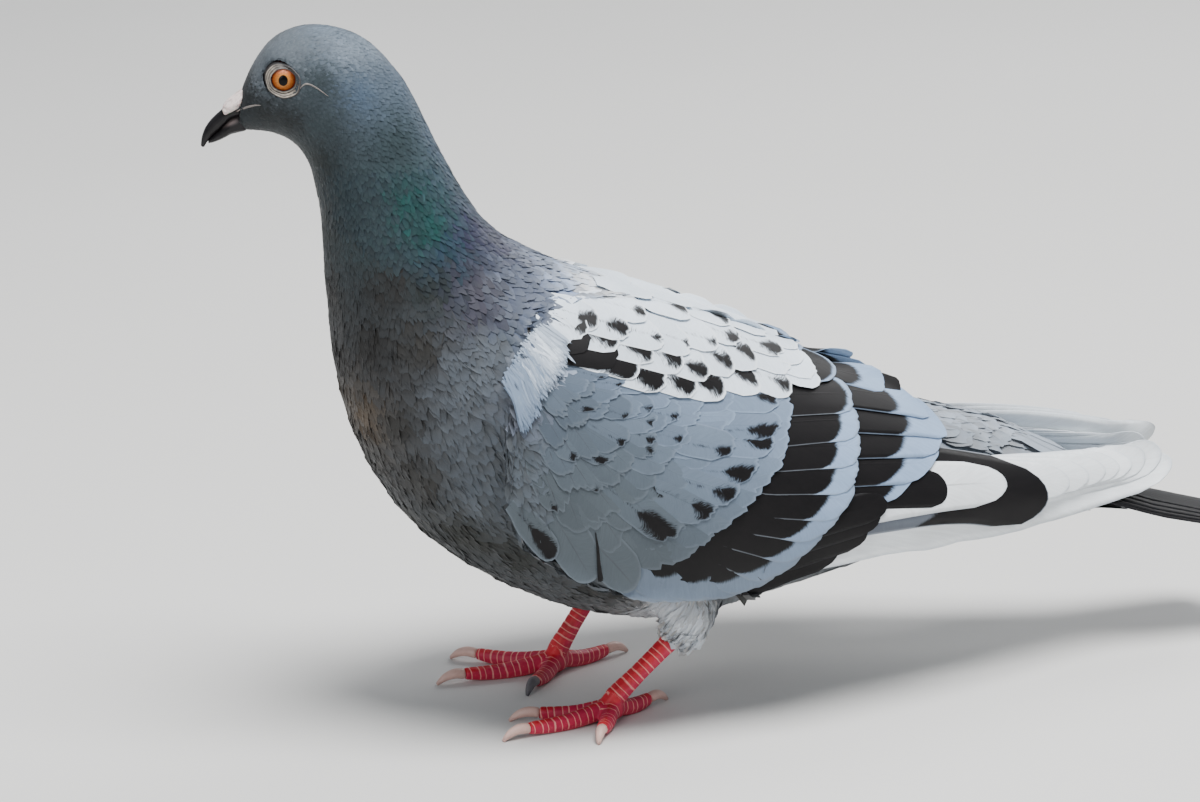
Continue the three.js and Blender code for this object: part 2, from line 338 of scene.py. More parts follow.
body = {
    "voxel": 1.4 * mm,
    "swell": 0.7 * mm,                           # closes the thin gaps between the solids
    "relax": 7,
    "depth": 1.7 * mm,                           # how far the skin lies inside the coat
    "faceDepth": 0.7 * mm,
    "wingEnd": -0.015,                           # behind this the wing is only feathers
    "headTurn": math.radians(20),
    "neckAxis": -0.114,
}

eye = {
    "centre": np.array([-140.0, 6.2, 192]) * mm,     # before the head's turn, the left eye mirrored
    "ball": 5.3 * mm,
    "bare": 4.9 * mm,                            # no feathers nearer than this
    "socket": (4.6 * mm, 5.8 * mm),
    "flat": 5 * mm,
    "low": 0.18,                                 # the socket is only above this
    "slimAt": 2.3,                               # the ring is narrowest up and back from the bill
}


def cutBehind(piece, x):
    editAll(piece)
    bpy.ops.mesh.bisect(plane_co=(x, 0, 0), plane_no=(1, 0, 0), use_fill=True, clear_outer=True)
    editDone()


def makeForm():                                  # one closed form out to the tips of the coat
    flesh = copyOf("flesh", "head", "neck", "trunk", "left_thigh", "right_thigh")
    arms = copyOf("arms", "left_wing", "right_wing")
    cutBehind(arms, body["wingEnd"])
    form = joinAs("plumageSkin", arms, flesh)
    swellBy(form, body["swell"])
    melt(form, body["voxel"], body["relax"])
    swellBy(form, -body["swell"])
    return form


class Surface:                                   # nearest place and even normal on a mesh
    def __init__(self, piece):
        self.points = pointsOf(piece)
        self.faces = [tuple(f.vertices) for f in piece.data.polygons]
        self.tree = BVHTree.FromPolygons([Vector(p) for p in self.points], self.faces)
        even = pointsOf(piece, "normal")
        self.normals = unit(np.array([even[list(f)].mean(0) for f in self.faces]))

    def under(self, places):
        found = np.zeros_like(places)
        normals = np.zeros_like(places)
        for i, place in enumerate(places):
            point, _, face, _ = self.tree.find_nearest(Vector(place))
            found[i] = point
            normals[i] = self.normals[face]
        return found, normals

    def samples(self, count, seed, want):        # want is how dense they should be, face by face
        draw = np.random.default_rng(seed)
        quads = np.array([f if len(f) == 4 else (*f, f[2]) for f in self.faces])
        a, b, c, d = (self.points[quads[:, k]] for k in range(4))
        sizes = np.linalg.norm(np.cross(c - a, d - b), axis=1) * want
        chosen = draw.choice(len(quads), count, p=sizes / sizes.sum())
        u, v = draw.random((2, count, 1))
        spots = mixed(mixed(a[chosen], b[chosen], u), mixed(d[chosen], c[chosen], u), v)
        return spots, self.normals[chosen]


def fromHead(points):                            # out of the straight head's frame
    return turnedHead(points, body["neckAxis"])


def headFrame(points):                           # places with the head's turn taken out
    reach = points[..., 0] - body["neckAxis"]
    sin, cos = math.sin(body["headTurn"]), math.cos(body["headTurn"])
    x = body["neckAxis"] + reach * cos - points[..., 1] * sin
    y = points[..., 1] * cos + reach * sin
    return np.stack([x, y, points[..., 2]], -1)


def turnedHead(vectors, about):                  # the head's turn put on again
    out = np.array(vectors, float)
    sin, cos = math.sin(body["headTurn"]), math.cos(body["headTurn"])
    reach = out[..., 0] - about
    y = out[..., 1].copy()
    out[..., 0] = about + reach * cos + y * sin
    out[..., 1] = y * cos - reach * sin
    return out


plumageSkin = makeForm()
outside = Surface(plumageSkin)
print("outside of the plumage:", len(outside.faces), "faces")


# how the coat lies: place, lie, length, width (mm) and colour, mirrored left to right

tones = {title: colour(*shade) for title, shade in {
    "forehead": (102, 110, 117), "crown": (97, 109, 121), "nape": (66, 81, 97), "face": (29, 33, 34),
    "cheek": (50, 60, 64), "throat": (33, 39, 39), "slate": (40, 53, 57), "green": (28, 66, 63),
    "teal": (31, 52, 65), "purple": (41, 42, 62), "mauve": (49, 47, 58), "front": (33, 33, 33),
    "breast": (44, 44, 43), "breastPale": (78, 85, 93), "bronze": (80, 70, 58), "belly": (36, 38, 36),
    "bellyDark": (25, 25, 23), "mantle": (228, 236, 244), "shoulder": (210, 223, 238),
    "coverGrey": (104, 119, 136), "coverLow": (86, 96, 106), "rump": (150, 160, 172), "vent": (70, 75, 79),
    "down": (242, 246, 250), "bend": (76, 84, 92), "smoke": (84, 91, 105), "haze": (158, 171, 190),
}.items()}

coat = {
    "candidates": 330000,
    "spacing": 0.52,                             # of the feather's width
    "finer": {"head": (0.80, 0.60), "body": (0.86, 0.74)},   # of the table's lengths and widths
    "sink": 1.2 * mm,
    "stirColour": 2.2 * mm,                      # neighbours take their colour from a little way off
    "seed": 11,
}

headLie = [
    ((-152, 0, 190), (0.7, 0, 0.7), 2.6, 1.3, "face"),
    ((-149, 0, 196), (0.8, 0, 0.6), 3.0, 1.4, "forehead"),
    ((-143, 0, 202), (0.95, 0, 0.3), 3.4, 1.6, "forehead"),
    ((-131, 0, 206), (1, 0, -0.05), 4.0, 1.8, "crown"),
    ((-118, 0, 202), (0.85, 0, -0.5), 4.6, 2.0, "crown"),
    ((-124, 9, 200), (0.9, 0, -0.4), 4.4, 2.0, "crown"),
    ((-109, 0, 192), (0.62, 0, -0.78), 5.4, 2.3, "nape"),
    ((-150, 5, 186), (1, 0.25, 0.05), 2.2, 1.2, "face"),
    ((-147, 7, 192), (1, 0.2, 0.35), 2.6, 1.3, "forehead"),
    ((-146, 8, 181), (1, 0.2, -0.2), 2.6, 1.3, "face"),
    ((-140, 9, 199), (1, 0, 0.1), 3.2, 1.5, "forehead"),
    ((-131, 12, 191), (1, 0.1, -0.15), 3.6, 1.7, "cheek"),
    ((-140, 10, 180), (1, 0.1, -0.3), 3.0, 1.5, "face"),
    ((-130, 13, 181), (0.8, 0, -0.6), 4.0, 1.8, "cheek"),
    ((-120, 14, 190), (0.8, 0, -0.6), 4.6, 2.0, "nape"),
    ((-151, 0, 175), (1, 0, -0.1), 2.6, 1.3, "face"),
    ((-142, 0, 174), (0.95, 0, -0.35), 3.2, 1.5, "throat"),
    ((-134, 0, 167), (0.45, 0, -0.9), 4.6, 2.0, "throat"),
    ((-131, 9, 170), (0.6, 0, -0.8), 4.4, 1.9, "throat"),
]
bodyLie = [
    ((-115, 15, 176), (0.45, 0, -0.9), 5.6, 2.2, "slate"),
    ((-100, 0, 176), (0.56, 0, -0.83), 6.5, 2.6, "nape"),
    ((-127, 12, 163), (0.25, 0, -0.97), 6.0, 2.4, "slate"),
    ((-131, 0, 152), (0.05, 0, -1), 7.0, 2.8, "throat"),
    ((-121, 16, 160), (0.25, 0, -0.97), 6.5, 2.5, "slate"),
    ((-113, 19, 160), (0.3, 0, -0.95), 6.6, 2.6, "green"),
    ((-107, 19, 152), (0.4, 0, -0.92), 7.2, 2.8, "green"),
    ((-102, 20, 145), (0.48, 0, -0.88), 7.6, 3.1, "teal"),
    ((-118, 18, 148), (0.22, 0, -0.97), 7.4, 2.9, "slate"),
    ((-92, 16, 149), (0.6, 0, -0.8), 7.6, 3.1, "purple"),
    ((-92, 0, 162), (0.58, 0, -0.81), 7.6, 3.1, "teal"),
    ((-96, 22, 138), (0.5, 0, -0.86), 8.0, 3.6, "mauve"),
    ((-82, 12, 146), (0.72, 0, -0.7), 8.0, 3.6, "purple"),
    ((-130, 0, 131), (0.08, 0, -1), 8.0, 3.6, "front"),
    ((-118, 19, 136), (0.25, 0, -0.97), 8.2, 3.6, "front"),
    ((-107, 24, 136), (0.35, 0, -0.94), 8.4, 3.8, "throat"),
    ((-96, 26, 131), (0.5, 0, -0.86), 8.6, 4.2, "mauve"),
    ((-82, 22, 135), (0.65, 0, -0.76), 8.8, 4.6, "smoke"),
    ((-70, 0, 138), (0.84, 0, -0.54), 9.0, 5.0, "smoke"),
    ((-76, 25, 130), (0.8, 0, -0.6), 9.5, 5.6, "smoke"),
    ((-62, 0, 134), (0.88, 0, -0.47), 10, 6.0, "haze"),
    ((-66, 20, 129), (0.9, 0, -0.42), 10, 6.0, "haze"),
    ((-54, 14, 128), (0.9, 0, -0.42), 10, 6.0, "mantle"),
    ((-128, 0, 110), (0.1, 0, -1), 9.2, 5.0, "front"),
    ((-122, 17, 120), (0.2, 0, -0.98), 9.0, 4.8, "front"),
    ((-112, 25, 120), (0.35, 0, -0.94), 9.4, 5.2, "breast"),
    ((-100, 31, 112), (0.5, 0.1, -0.86), 9.8, 5.8, "breastPale"),
    ((-90, 33, 118), (0.6, 0.2, -0.75), 9.8, 5.8, "breastPale"),
    ((-124, 10, 97), (0.3, 0, -0.95), 10, 6.0, "bronze"),
    ((-116, 22, 98), (0.4, 0, -0.9), 10.2, 6.2, "breast"),
    ((-104, 31, 96), (0.5, 0, -0.86), 10.4, 6.4, "breastPale"),
    ((-95, 35, 90), (0.6, 0, -0.8), 10.6, 6.5, "breastPale"),
    ((-121, 0, 84), (0.45, 0, -0.9), 10.4, 6.4, "breast"),
    ((-110, 20, 80), (0.55, 0, -0.83), 10.6, 6.6, "breast"),
    ((-98, 32, 80), (0.65, 0, -0.76), 10.8, 6.6, "breastPale"),
    ((-107, 0, 60), (0.8, 0, -0.6), 10.8, 6.8, "belly"),
    ((-98, 20, 62), (0.8, 0, -0.6), 10.8, 6.8, "belly"),
    ((-86, 0, 42), (0.9, 0, -0.38), 11, 6.8, "bellyDark"),
    ((-84, 26, 55), (0.85, 0, -0.5), 11, 6.8, "belly"),
    ((-60, 0, 29), (1, 0, -0.1), 11.5, 7.0, "bellyDark"),
    ((-60, 30, 42), (0.97, 0, -0.2), 11.5, 7.0, "belly"),
    ((-30, 0, 23), (1, 0, 0.03), 12, 7.0, "belly"),
    ((-20, 32, 38), (1, 0, 0), 12, 7.0, "belly"),
    ((0, 0, 27), (1, 0, 0.15), 12.5, 7.0, "vent"),
    ((20, 25, 42), (1, 0, 0.1), 13, 7.2, "vent"),
    ((30, 0, 33), (1, 0, 0.2), 15, 7.6, "vent"),
    ((60, 0, 40), (1, 0, 0.25), 18, 8.2, "vent"),
    ((90, 0, 45), (1, 0, 0.1), 20, 8.6, "vent"),
    ((-40, 0, 124), (0.94, 0, -0.34), 11, 7.0, "mantle"),
    ((-10, 0, 111), (0.94, 0, -0.34), 12, 7.5, "mantle"),
    ((20, 0, 95), (0.93, 0, -0.38), 13, 8.0, "shoulder"),
    ((45, 0, 83), (0.93, 0, -0.34), 14, 8.4, "rump"),
    ((75, 0, 73), (0.95, 0, -0.3), 17, 9.0, "rump"),
    ((95, 0, 63), (0.95, 0, -0.32), 20, 9.6, "rump"),
    ((50, 22, 60), (1, 0, -0.1), 15, 8.0, "rump"),
    ((85, 17, 57), (1, 0, -0.12), 18, 8.6, "rump"),
    ((-86, 42, 104), (0.7, 0, -0.7), 9.8, 5.6, "smoke"),
    ((-82, 41, 112), (0.8, 0, -0.6), 9.8, 5.4, "haze"),
    ((-88, 43, 92), (0.65, 0, -0.76), 9.8, 5.8, "bend"),
    ((-88, 43, 76), (0.6, 0, -0.8), 10, 6.2, "bend"),
    ((-84, 43, 60), (0.7, 0, -0.7), 10.4, 6.6, "bend"),
    ((-70, 45, 100), (0.85, 0, -0.5), 10.4, 6.0, "coverGrey"),
    ((-70, 47, 75), (0.7, 0, -0.7), 10.8, 6.6, "coverLow"),
    ((-70, 45, 52), (0.8, 0, -0.6), 11, 7.0, "bend"),
    ((-40, 46, 46), (0.95, 0, -0.3), 12, 7.0, "bend"),
    ((-28, 24, 31), (-0.7, 0.1, -0.7), 8, 3.4, "down"),
    ((-22, 24, 36), (0.1, 0.2, -0.95), 9, 4.0, "vent"),
]


def lieTable():                                  # both sides of the bird, in metres
    places, lies, sizes, tints = [], [], [], []
    for rows, turns, part in ((headLie, True, "head"), (bodyLie, False, "body")):
        longer, wider = np.array(coat["finer"][part]) * mm
        for (x, y, z), lie, length, width, tone in rows:
            for side in ((1, -1) if y else (1,)):
                place = np.array([x, y * side, z]) * mm
                way = np.array([lie[0], lie[1] * side, lie[2]])
                if turns:
                    place = turnedHead(place, body["neckAxis"])
                    way = turnedHead(way, 0)
                places.append(place)
                lies.append(way / np.linalg.norm(way))
                sizes.append((length * longer, width * wider))
                tints.append(tones[tone])
    return tuple(np.array(column) for column in (places, lies, sizes, tints))


lieTables = lieTable()


def coatAt(points, power=4.5):                   # lie, length, width and colour at any place
    places, lies, sizes, tints = lieTables
    out = []
    for start in range(0, len(points), 20000):
        some = points[start:start + 20000]
        far = np.linalg.norm(some[:, None] - places[None], axis=2) + 0.5 * mm
        share = far ** -power
        share /= share.sum(1, keepdims=True)
        out.append(share @ np.hstack([lies, sizes, tints]))
    found = np.vstack(out)
    return unit(found[:, :3]), found[:, 3], found[:, 4], found[:, 5:8]


# where the parts of the coat lie on a flat unwrap of the skin, for the baked colours

spine = np.array([(-150, 183), (-135, 188), (-121, 180), (-113, 162), (-104, 138), (-90, 110),
                  (-62, 88), (-25, 74), (20, 62), (60, 56), (100, 52), (165, 38)]) * mm
spineReach = np.concatenate([[0], np.cumsum(np.linalg.norm(np.diff(spine, axis=0), axis=1))])


def unwrap(points):                              # along the spine, and round it
    flat = points[:, [0, 2]]
    best = np.full(len(points), 1e9)
    along = np.zeros(len(points))
    middle = np.zeros((len(points), 2))
    way = np.zeros((len(points), 2))
    for k in range(len(spine) - 1):
        step = spine[k + 1] - spine[k]
        share = np.clip((flat - spine[k]) @ step / (step @ step), 0, 1)
        foot = spine[k] + share[:, None] * step
        far = np.linalg.norm(flat - foot, axis=1)
        near = far < best
        best[near] = far[near]
        along[near] = (spineReach[k] + share * (spineReach[k + 1] - spineReach[k]))[near]
        middle[near] = foot[near]
        way[near] = step / np.linalg.norm(step)
    up = (flat[:, 0] - middle[:, 0]) * -way[:, 1] + (flat[:, 1] - middle[:, 1]) * way[:, 0]
    around = np.arctan2(points[:, 1], up) / (2 * math.pi) + 0.5
    return np.stack([0.02 + 0.96 * around, 0.02 + 0.96 * along / spineReach[-1]], 1)


# vanes: many feathers as one mesh

def vaneMesh(name, grid, places, paints):
    # grid is feathers x rows x columns x 3; places are uv maps and paints are attributes of each feather
    count, rows, columns = grid.shape[:3]
    index = np.arange(count * rows * columns).reshape(count, rows, columns)
    corners = [index[:, :-1, :-1], index[:, :-1, 1:], index[:, 1:, 1:], index[:, 1:, :-1]]
    quads = np.stack(corners, -1).reshape(-1, 4)
    mesh = bpy.data.meshes.new(name)
    mesh.vertices.add(grid.size // 3)
    mesh.vertices.foreach_set("co", grid.astype(np.float32).ravel())
    mesh.loops.add(quads.size)
    mesh.loops.foreach_set("vertex_index", quads.astype(np.int32).ravel())
    mesh.polygons.add(len(quads))
    mesh.polygons.foreach_set("loop_start", np.arange(0, quads.size, 4, dtype=np.int32))
    mesh.polygons.foreach_set("loop_total", np.full(len(quads), 4, np.int32))
    mesh.polygons.foreach_set("use_smooth", np.ones(len(quads), bool))
    mesh.update(calc_edges=True)
    for title, values in places.items():
        layer = mesh.uv_layers.new(name=title)
        flat = np.broadcast_to(values, (*index.shape, 2)).reshape(-1, 2)
        layer.data.foreach_set("uv", flat[quads.ravel()].astype(np.float32).ravel())
    for title, values in paints.items():
        full = np.ones((count, rows, columns, 4), np.float32)
        full[..., :values.shape[-1]] = values[:, None, None, :]
        layer = mesh.attributes.new(title, "FLOAT_COLOR", "POINT")
        layer.data.foreach_set("color", full.ravel())
    mesh.validate()
    piece = bpy.data.objects.new(name, mesh)
    bpy.context.scene.collection.objects.link(piece)
    return piece


def roundTip(across, power=2.0):                 # 0 in the middle of a tip, 1 at its sides
    return 1 - (1 - np.abs(across) ** power) ** (1 / power)


# feather finishes

def contourFinish(name, sheen, base, lift, rough, smudges, rootHue):     # for the small feathers
    finish = Finish(name, Sheen_Weight=sheen, Sheen_Roughness=0.5, Specular_IOR_Level=0.22)
    tint = finish.attribute("tint")
    across, along, _ = finish.uv("vane").parts()
    aside = abs(across - 0.5) * 2
    own = finish.attribute("tint", 3) * 40
    barbs = finish.noise(finish.vector(along * 13 - aside * 4, aside * 1.2, own), 1.8, 3)
    cloud = finish.noise(finish.place(), 60, 3)
    shaft = (1 - aside.between(0.03, 0.2)) * (1 - along.between(0.3, 0.7))
    tip = along.between(0.35, 0.95)
    smudge = finish.noise(finish.place(), 190, 2)
    # painted shade: the root darker than the tip, as if under the overlapping feather above
    light = base + lift * tip + 0.28 * (barbs - 0.5) + 0.3 * (cloud - 0.5) - 0.08 * shaft
    light = light + smudges * (smudge - 0.5)
    warm = finish.blend(tip, rootHue, (1, 1, 1, 1))
    shade = finish.lit(finish.blend(1.0, tint, warm, "MULTIPLY"), light)
    return finish.ready(Base_Color=shade, Roughness=rough + 0.15 * barbs,
                        Normal=finish.bump(barbs * 0.6 + shaft))


featherLooks = {                                 # sheen, lightness, lift of tip (the root in painted shade), roughness, smudges, root
    "head": (0.08, 0.90, 0.12, 0.52, 0.32, (0.95, 0.97, 1.0, 1)),
    "neck": (0.05, 0.80, 0.20, 0.40, 0.40, (0.80, 0.85, 1.0, 1)),
    "body": (0.10, 0.86, 0.17, 0.55, 0.50, (1.0, 0.93, 0.86, 1)),
    "white": (0.15, 0.92, 0.10, 0.55, 0.10, (0.90, 0.94, 1.0, 1)),
}
finishes = {title: contourFinish(title + "Feather", *look) for title, look in featherLooks.items()}


def skinFinish():                                # what shows between the feathers
    finish = Finish("skinUnderCoat", Specular_IOR_Level=0.2)
    fluff = finish.noise(finish.place(), 900, 3)
    shade = finish.lit(finish.attribute("tint"), 0.66 + 0.3 * fluff)
    return finish.ready(Base_Color=shade, Roughness=0.8 + 0.1 * fluff,
                        Normal=finish.bump(fluff, 0.5, 0.2 * mm))


# the small feathers of head, neck, breast, belly, back and thighs

def thinned(points, gaps, seed):                 # even scatter, no two nearer than their gap
    tree = kdtree.KDTree(len(points))
    for i, place in enumerate(points):
        tree.insert(place, i)
    tree.balance()
    free = np.ones(len(points), bool)
    kept = []
    for i in np.random.default_rng(seed).permutation(len(points)):
        if free[i]:
            kept.append(i)
            for _, j, _ in tree.find_range(points[i], gaps[i]):
                free[j] = False
    return np.array(kept)


def layDown(places, lies, lengths, shares):      # a line over the coat's outside for each feather
    here = places.copy()
    way = lies.copy()
    done = 0.0
    centres, normals, ways = [], [], []
    for share in shares:
        here, up = outside.under(here + way * ((share - done) * lengths)[:, None])
        way = unit(way - up * (way * up).sum(1, keepdims=True))
        done = share
        centres.append(here.copy())
        normals.append(up)
        ways.append(way.copy())
    return np.stack(centres, 1), np.stack(normals, 1), np.stack(ways, 1)


def smallFeathers(name, places, seed, shape, sizes=None):
    draw = np.random.default_rng(seed)
    count = len(places)
    lies, lengths, widths, _ = coatAt(places)
    tints = coatAt(places + draw.normal(0, coat["stirColour"] * shape["stir"], places.shape), 3.0)[3]
    if sizes:
        lengths, widths = (np.full(count, size) for size in sizes)
    _, up = outside.under(places)
    side = np.cross(up, lies)
    lies = unit(lies + side * draw.normal(0, shape["stray"], (count, 1)))
    lengths = lengths * draw.uniform(0.85, 1.15, count)
    widths = widths * draw.uniform(0.85, 1.12, count)
    along = np.array(shape["along"])
    across = np.linspace(-1, 1, shape["columns"])
    back = places - lies * (lengths * 0.35)[:, None]
    centres, normals, ways = layDown(back, lies, lengths, along)
    sides = np.cross(normals, ways)
    half = widths[:, None] / 2 * (0.35 + 0.65 * ease(along, 0, 0.45))
    blunt = (widths / 2 * shape["round"])[:, None] * roundTip(across)
    short = blunt + np.abs(draw.normal(0, shape["ragged"], (count, len(across)))) * lengths[:, None]
    reach = 1 - short / lengths[:, None]         # of each column
    slip = (reach - 1)[:, None, :] * along[:, None] * lengths[:, None, None]
    sink = np.minimum(coat["sink"], shape["sink"] * widths)
    lift = shape["lift"] * widths * draw.uniform(0.4, 1.6, count)
    rise = -sink[:, None] + (sink + lift)[:, None] * along ** 0.8
    lean = draw.normal(0, shape["lean"], count) * widths
    height = rise[:, :, None] + lean[:, None, None] * across
    height = height - (half * shape["camber"])[:, :, None] * across ** 2
    grid = (centres[:, :, None] + ways[:, :, None] * slip[..., None]
            + sides[:, :, None] * (half[:, :, None] * across)[..., None]
            + normals[:, :, None] * height[..., None])
    own = np.stack(np.broadcast_arrays((across + 1) / 2, along[:, None] * reach[:, None, :]), -1)
    bake = unwrap(places)[:, None, None, :] + 0.003 * (own - 0.5)
    painted = np.clip(tints * draw.normal(1, shape["mottle"], (count, 1)), 0.002, 0.98)
    painted = np.hstack([painted, draw.random((count, 1))])
    return vaneMesh(name, grid, {"vane": own, "OFBake": bake}, {"tint": painted})


# the wing as a sheet: x along the bird, s up and inwards over the folded wing

wing = {
    "slant": math.radians(30),
    "from": (-99 * mm, 2 * mm),
    "to": (144 * mm, 116 * mm),
    "step": 3 * mm,
    "fill": 400,
    "voxel": 0.9 * mm,
    "back": 80 * mm,                             # above this the sheet goes on over the back
    "shoulder": np.array([-84, 90]) * mm,        # the coverts fan out from here
}


class Sheet:                                     # a curved face that feathers are laid on
    feel = 0.8 * mm                              # the normal is felt this far to each side

    def at(self, flat):                          # place and normal
        along, across = (self.spot(flat + step) - self.spot(flat - step) for step in np.eye(2) * self.feel)
        return self.spot(flat), unit(np.cross(along, across))


class WingSheet(Sheet):                          # the left wing's outer face as an even curved sheet
    def __init__(self, piece):
        slant = wing["slant"]
        self.inward = np.array([0, math.sin(slant), math.cos(slant)])
        self.out = np.array([0, -math.cos(slant), math.sin(slant)])
        tree = Surface(piece).tree
        self.start = np.array(wing["from"])
        self.size = np.ceil((np.array(wing["to"]) - self.start) / wing["step"]).astype(int) + 1
        depth = np.full(tuple(self.size), np.nan)
        for i in range(self.size[0]):
            for j in range(self.size[1]):
                x, s = self.start + np.array([i, j]) * wing["step"]
                begin = np.array([x, 0, 0]) + s * self.inward + self.out * 0.2
                hit = tree.ray_cast(Vector(begin), Vector(-self.out))[0]
                if hit is None and s > wing["back"]:
                    hit = outside.tree.ray_cast(Vector(begin), Vector(-self.out))[0]
                if hit is not None:
                    depth[i, j] = np.array(hit) @ self.out
        self.depth = self.filled(depth)

    def filled(self, depth):                     # gaps spread in from their rims, then all smoothed a little
        known = ~np.isnan(depth)
        full = np.where(known, depth, np.nanmean(depth))
        for _ in range(wing["fill"]):
            full = np.where(known, depth, nearMean(full))
        for _ in range(2):
            full = full / 2 + nearMean(full) / 2
        return full

    def depthAt(self, flat):                     # even cubic steps between the known places
        cell = (flat - self.start) / wing["step"]
        low = np.clip(np.floor(cell).astype(int), 1, self.size - 3)
        u, v = np.moveaxis(np.clip(cell - low, 0, 1), -1, 0)
        total = 0
        for i, a in enumerate(splineShares(u)):
            for j, b in enumerate(splineShares(v)):
                total = total + a * b * self.depth[low[..., 0] + i - 1, low[..., 1] + j - 1]
        return total

    def spot(self, flat):
        x = flat[..., :1] * np.array([1.0, 0, 0])
        return x + flat[..., 1:] * self.inward + self.depthAt(flat)[..., None] * self.out

    def flat(self, points):                      # sheet places of points on either side of the bird
        left = np.stack([points[:, 0], -np.abs(points[:, 1]), points[:, 2]], -1)
        where = np.stack([left[:, 0], left @ self.inward], -1)
        return where, left @ self.out - self.depthAt(where)


def nearMean(field):                             # of the four neighbours
    wide = np.pad(field, 1, mode="edge")
    return (wide[:-2, 1:-1] + wide[2:, 1:-1] + wide[1:-1, :-2] + wide[1:-1, 2:]) / 4


def splineShares(u):
    return ((1 - u) ** 3 / 6, (3 * u ** 3 - 6 * u ** 2 + 4) / 6,
            (-3 * u ** 3 + 3 * u ** 2 + 3 * u + 1) / 6, u ** 3 / 6)


wingForm = copyOf("wingForm", "left_wing")
melt(wingForm, wing["voxel"], 6)
sheet = WingSheet(wingForm)
bpy.data.objects.remove(wingForm)
print("wing sheet:", tuple(sheet.size))


# body coat: which feathers grow where

coatRules = {
    "near": 19 * mm,                             # the wing's rows begin this far from the shoulder
    "behind": -72 * mm,
    "front": -81 * mm,
    "middle": 7 * mm,
    "mantle": (-47 * mm, 87 * mm),
    "rump": (84 * mm, 52 * mm),
    "onSheet": 3 * mm,
    "hidden": -95 * mm,                          # behind this the wings may hide the coat
    "look": 25 * mm,
    "faceAbove": 175 * mm,
    "headPiece": (-104 * mm, 168 * mm),          # borders between the pieces of the coat, x and z
    "neckPiece": (-62 * mm, 128 * mm),
    "neckLine": (-100 * mm, 0.75),
    "backPiece": (-76 * mm, 75 * mm),
    "breastPiece": -60 * mm,
}


def openToSight(points, up, lies):               # not hidden under the folded wing
    tree = BVHTree.FromObject(nodes["left_wing"], bpy.context.evaluated_depsgraph_get())
    seen = np.zeros(len(points), bool)
    for i in range(len(points)):
        side = np.array([1, -1, 1]) if points[i, 1] > 0 else np.ones(3)
        start = (points[i] + up[i] * 1.5 * mm) * side
        for lean in (0, 0.9, -0.9):
            way = unit((up[i] + lies[i] * lean) * side)
            if tree.ray_cast(Vector(start), Vector(way), coatRules["look"])[0] is None:
                seen[i] = True
                break
    return seen


def bareFace(points, lies, lengths):             # no feather may start or end on the ring round an eye
    bare = np.zeros(len(points), bool)
    for share in (0, 0.3, 0.65):
        place = headFrame(points + lies * (lengths * share)[:, None])
        back, up = place[:, 0] - eye["centre"][0], place[:, 2] - eye["centre"][2]
        slim = 1 + 0.16 * np.maximum(np.cos(np.arctan2(up, -back) - eye["slimAt"]), 0)
        bare |= (np.hypot(back, up) * slim < eye["bare"]) & (points[:, 2] > coatRules["faceAbove"])
    return bare


def coatRoots():
    middles = np.array([outside.points[list(face)].mean(0) for face in outside.faces])
    points, up = outside.samples(coat["candidates"], coat["seed"], coatAt(middles)[2] ** -2)
    lies, lengths, widths, _ = coatAt(points)
    kept = thinned(points, widths * coat["spacing"], coat["seed"])
    points, up, lies, lengths = points[kept], up[kept], lies[kept], lengths[kept]
    x, y, z = points.T
    flat, off = sheet.flat(points)
    reach = np.linalg.norm(flat - wing["shoulder"], axis=1)
    onWing = (np.abs(off) < coatRules["onSheet"]) & ((reach > coatRules["near"]) | (x > coatRules["behind"]))
    onWing &= (x > coatRules["front"]) & (np.abs(y) > coatRules["middle"])
    onWing &= (x > coatRules["mantle"][0]) | (flat[:, 1] < coatRules["mantle"][1])
    seen = ~bareFace(points, lies, lengths)
    seen &= (x < coatRules["rump"][0]) | (z < coatRules["rump"][1])
    trunk = x > coatRules["hidden"]
    seen[trunk] &= openToSight(points[trunk], up[trunk], lies[trunk])
    return points[seen & ~onWing]


featherShapes = {
    "head": {"along": (0, 0.35, 0.7, 1), "columns": 3, "round": 1.2, "sink": 0.35, "lift": 0.05,
             "camber": 0.2, "stray": 0.10, "mottle": 0.06, "ragged": 0.05, "lean": 0.02, "stir": 0.5},
    "neck": {"along": (0, 0.3, 0.6, 0.82, 1), "columns": 4, "round": 1.6, "sink": 0.25, "lift": 0.03,
             "camber": 0.2, "stray": 0.10, "mottle": 0.12, "ragged": 0.10, "lean": 0.03, "stir": 0.9},
    "back": {"along": (0, 0.3, 0.6, 0.82, 1), "columns": 7, "round": 1.7, "sink": 0.12, "lift": 0.008,
             "camber": 0.03, "stray": 0.06, "mottle": 0.03, "ragged": 0.05, "lean": 0.004, "stir": 0.7},
    "body": {"along": (0, 0.3, 0.6, 0.82, 1), "columns": 8, "round": 1.1, "sink": 0.16, "lift": 0.018,
             "camber": 0.04, "stray": 0.14, "mottle": 0.04, "ragged": 0.16, "lean": 0.008, "stir": 0.7},
}


def coatRegion(points):                          # which coat piece a root belongs to
    x, _, z = points.T
    start, steep = coatRules["neckLine"]
    head = (z > coatRules["headPiece"][1]) & (x < coatRules["headPiece"][0])
    neck = z + steep * (x - start) > coatRules["neckPiece"][1]
    neck &= ~head & (x < coatRules["neckPiece"][0])
    back = ~head & ~neck & (z > coatRules["backPiece"][1]) & (x > coatRules["backPiece"][0])
    breast = ~head & ~neck & ~back & (x < coatRules["breastPiece"])
    return np.select([head, neck, breast, back], [0, 1, 2, 3], 4)


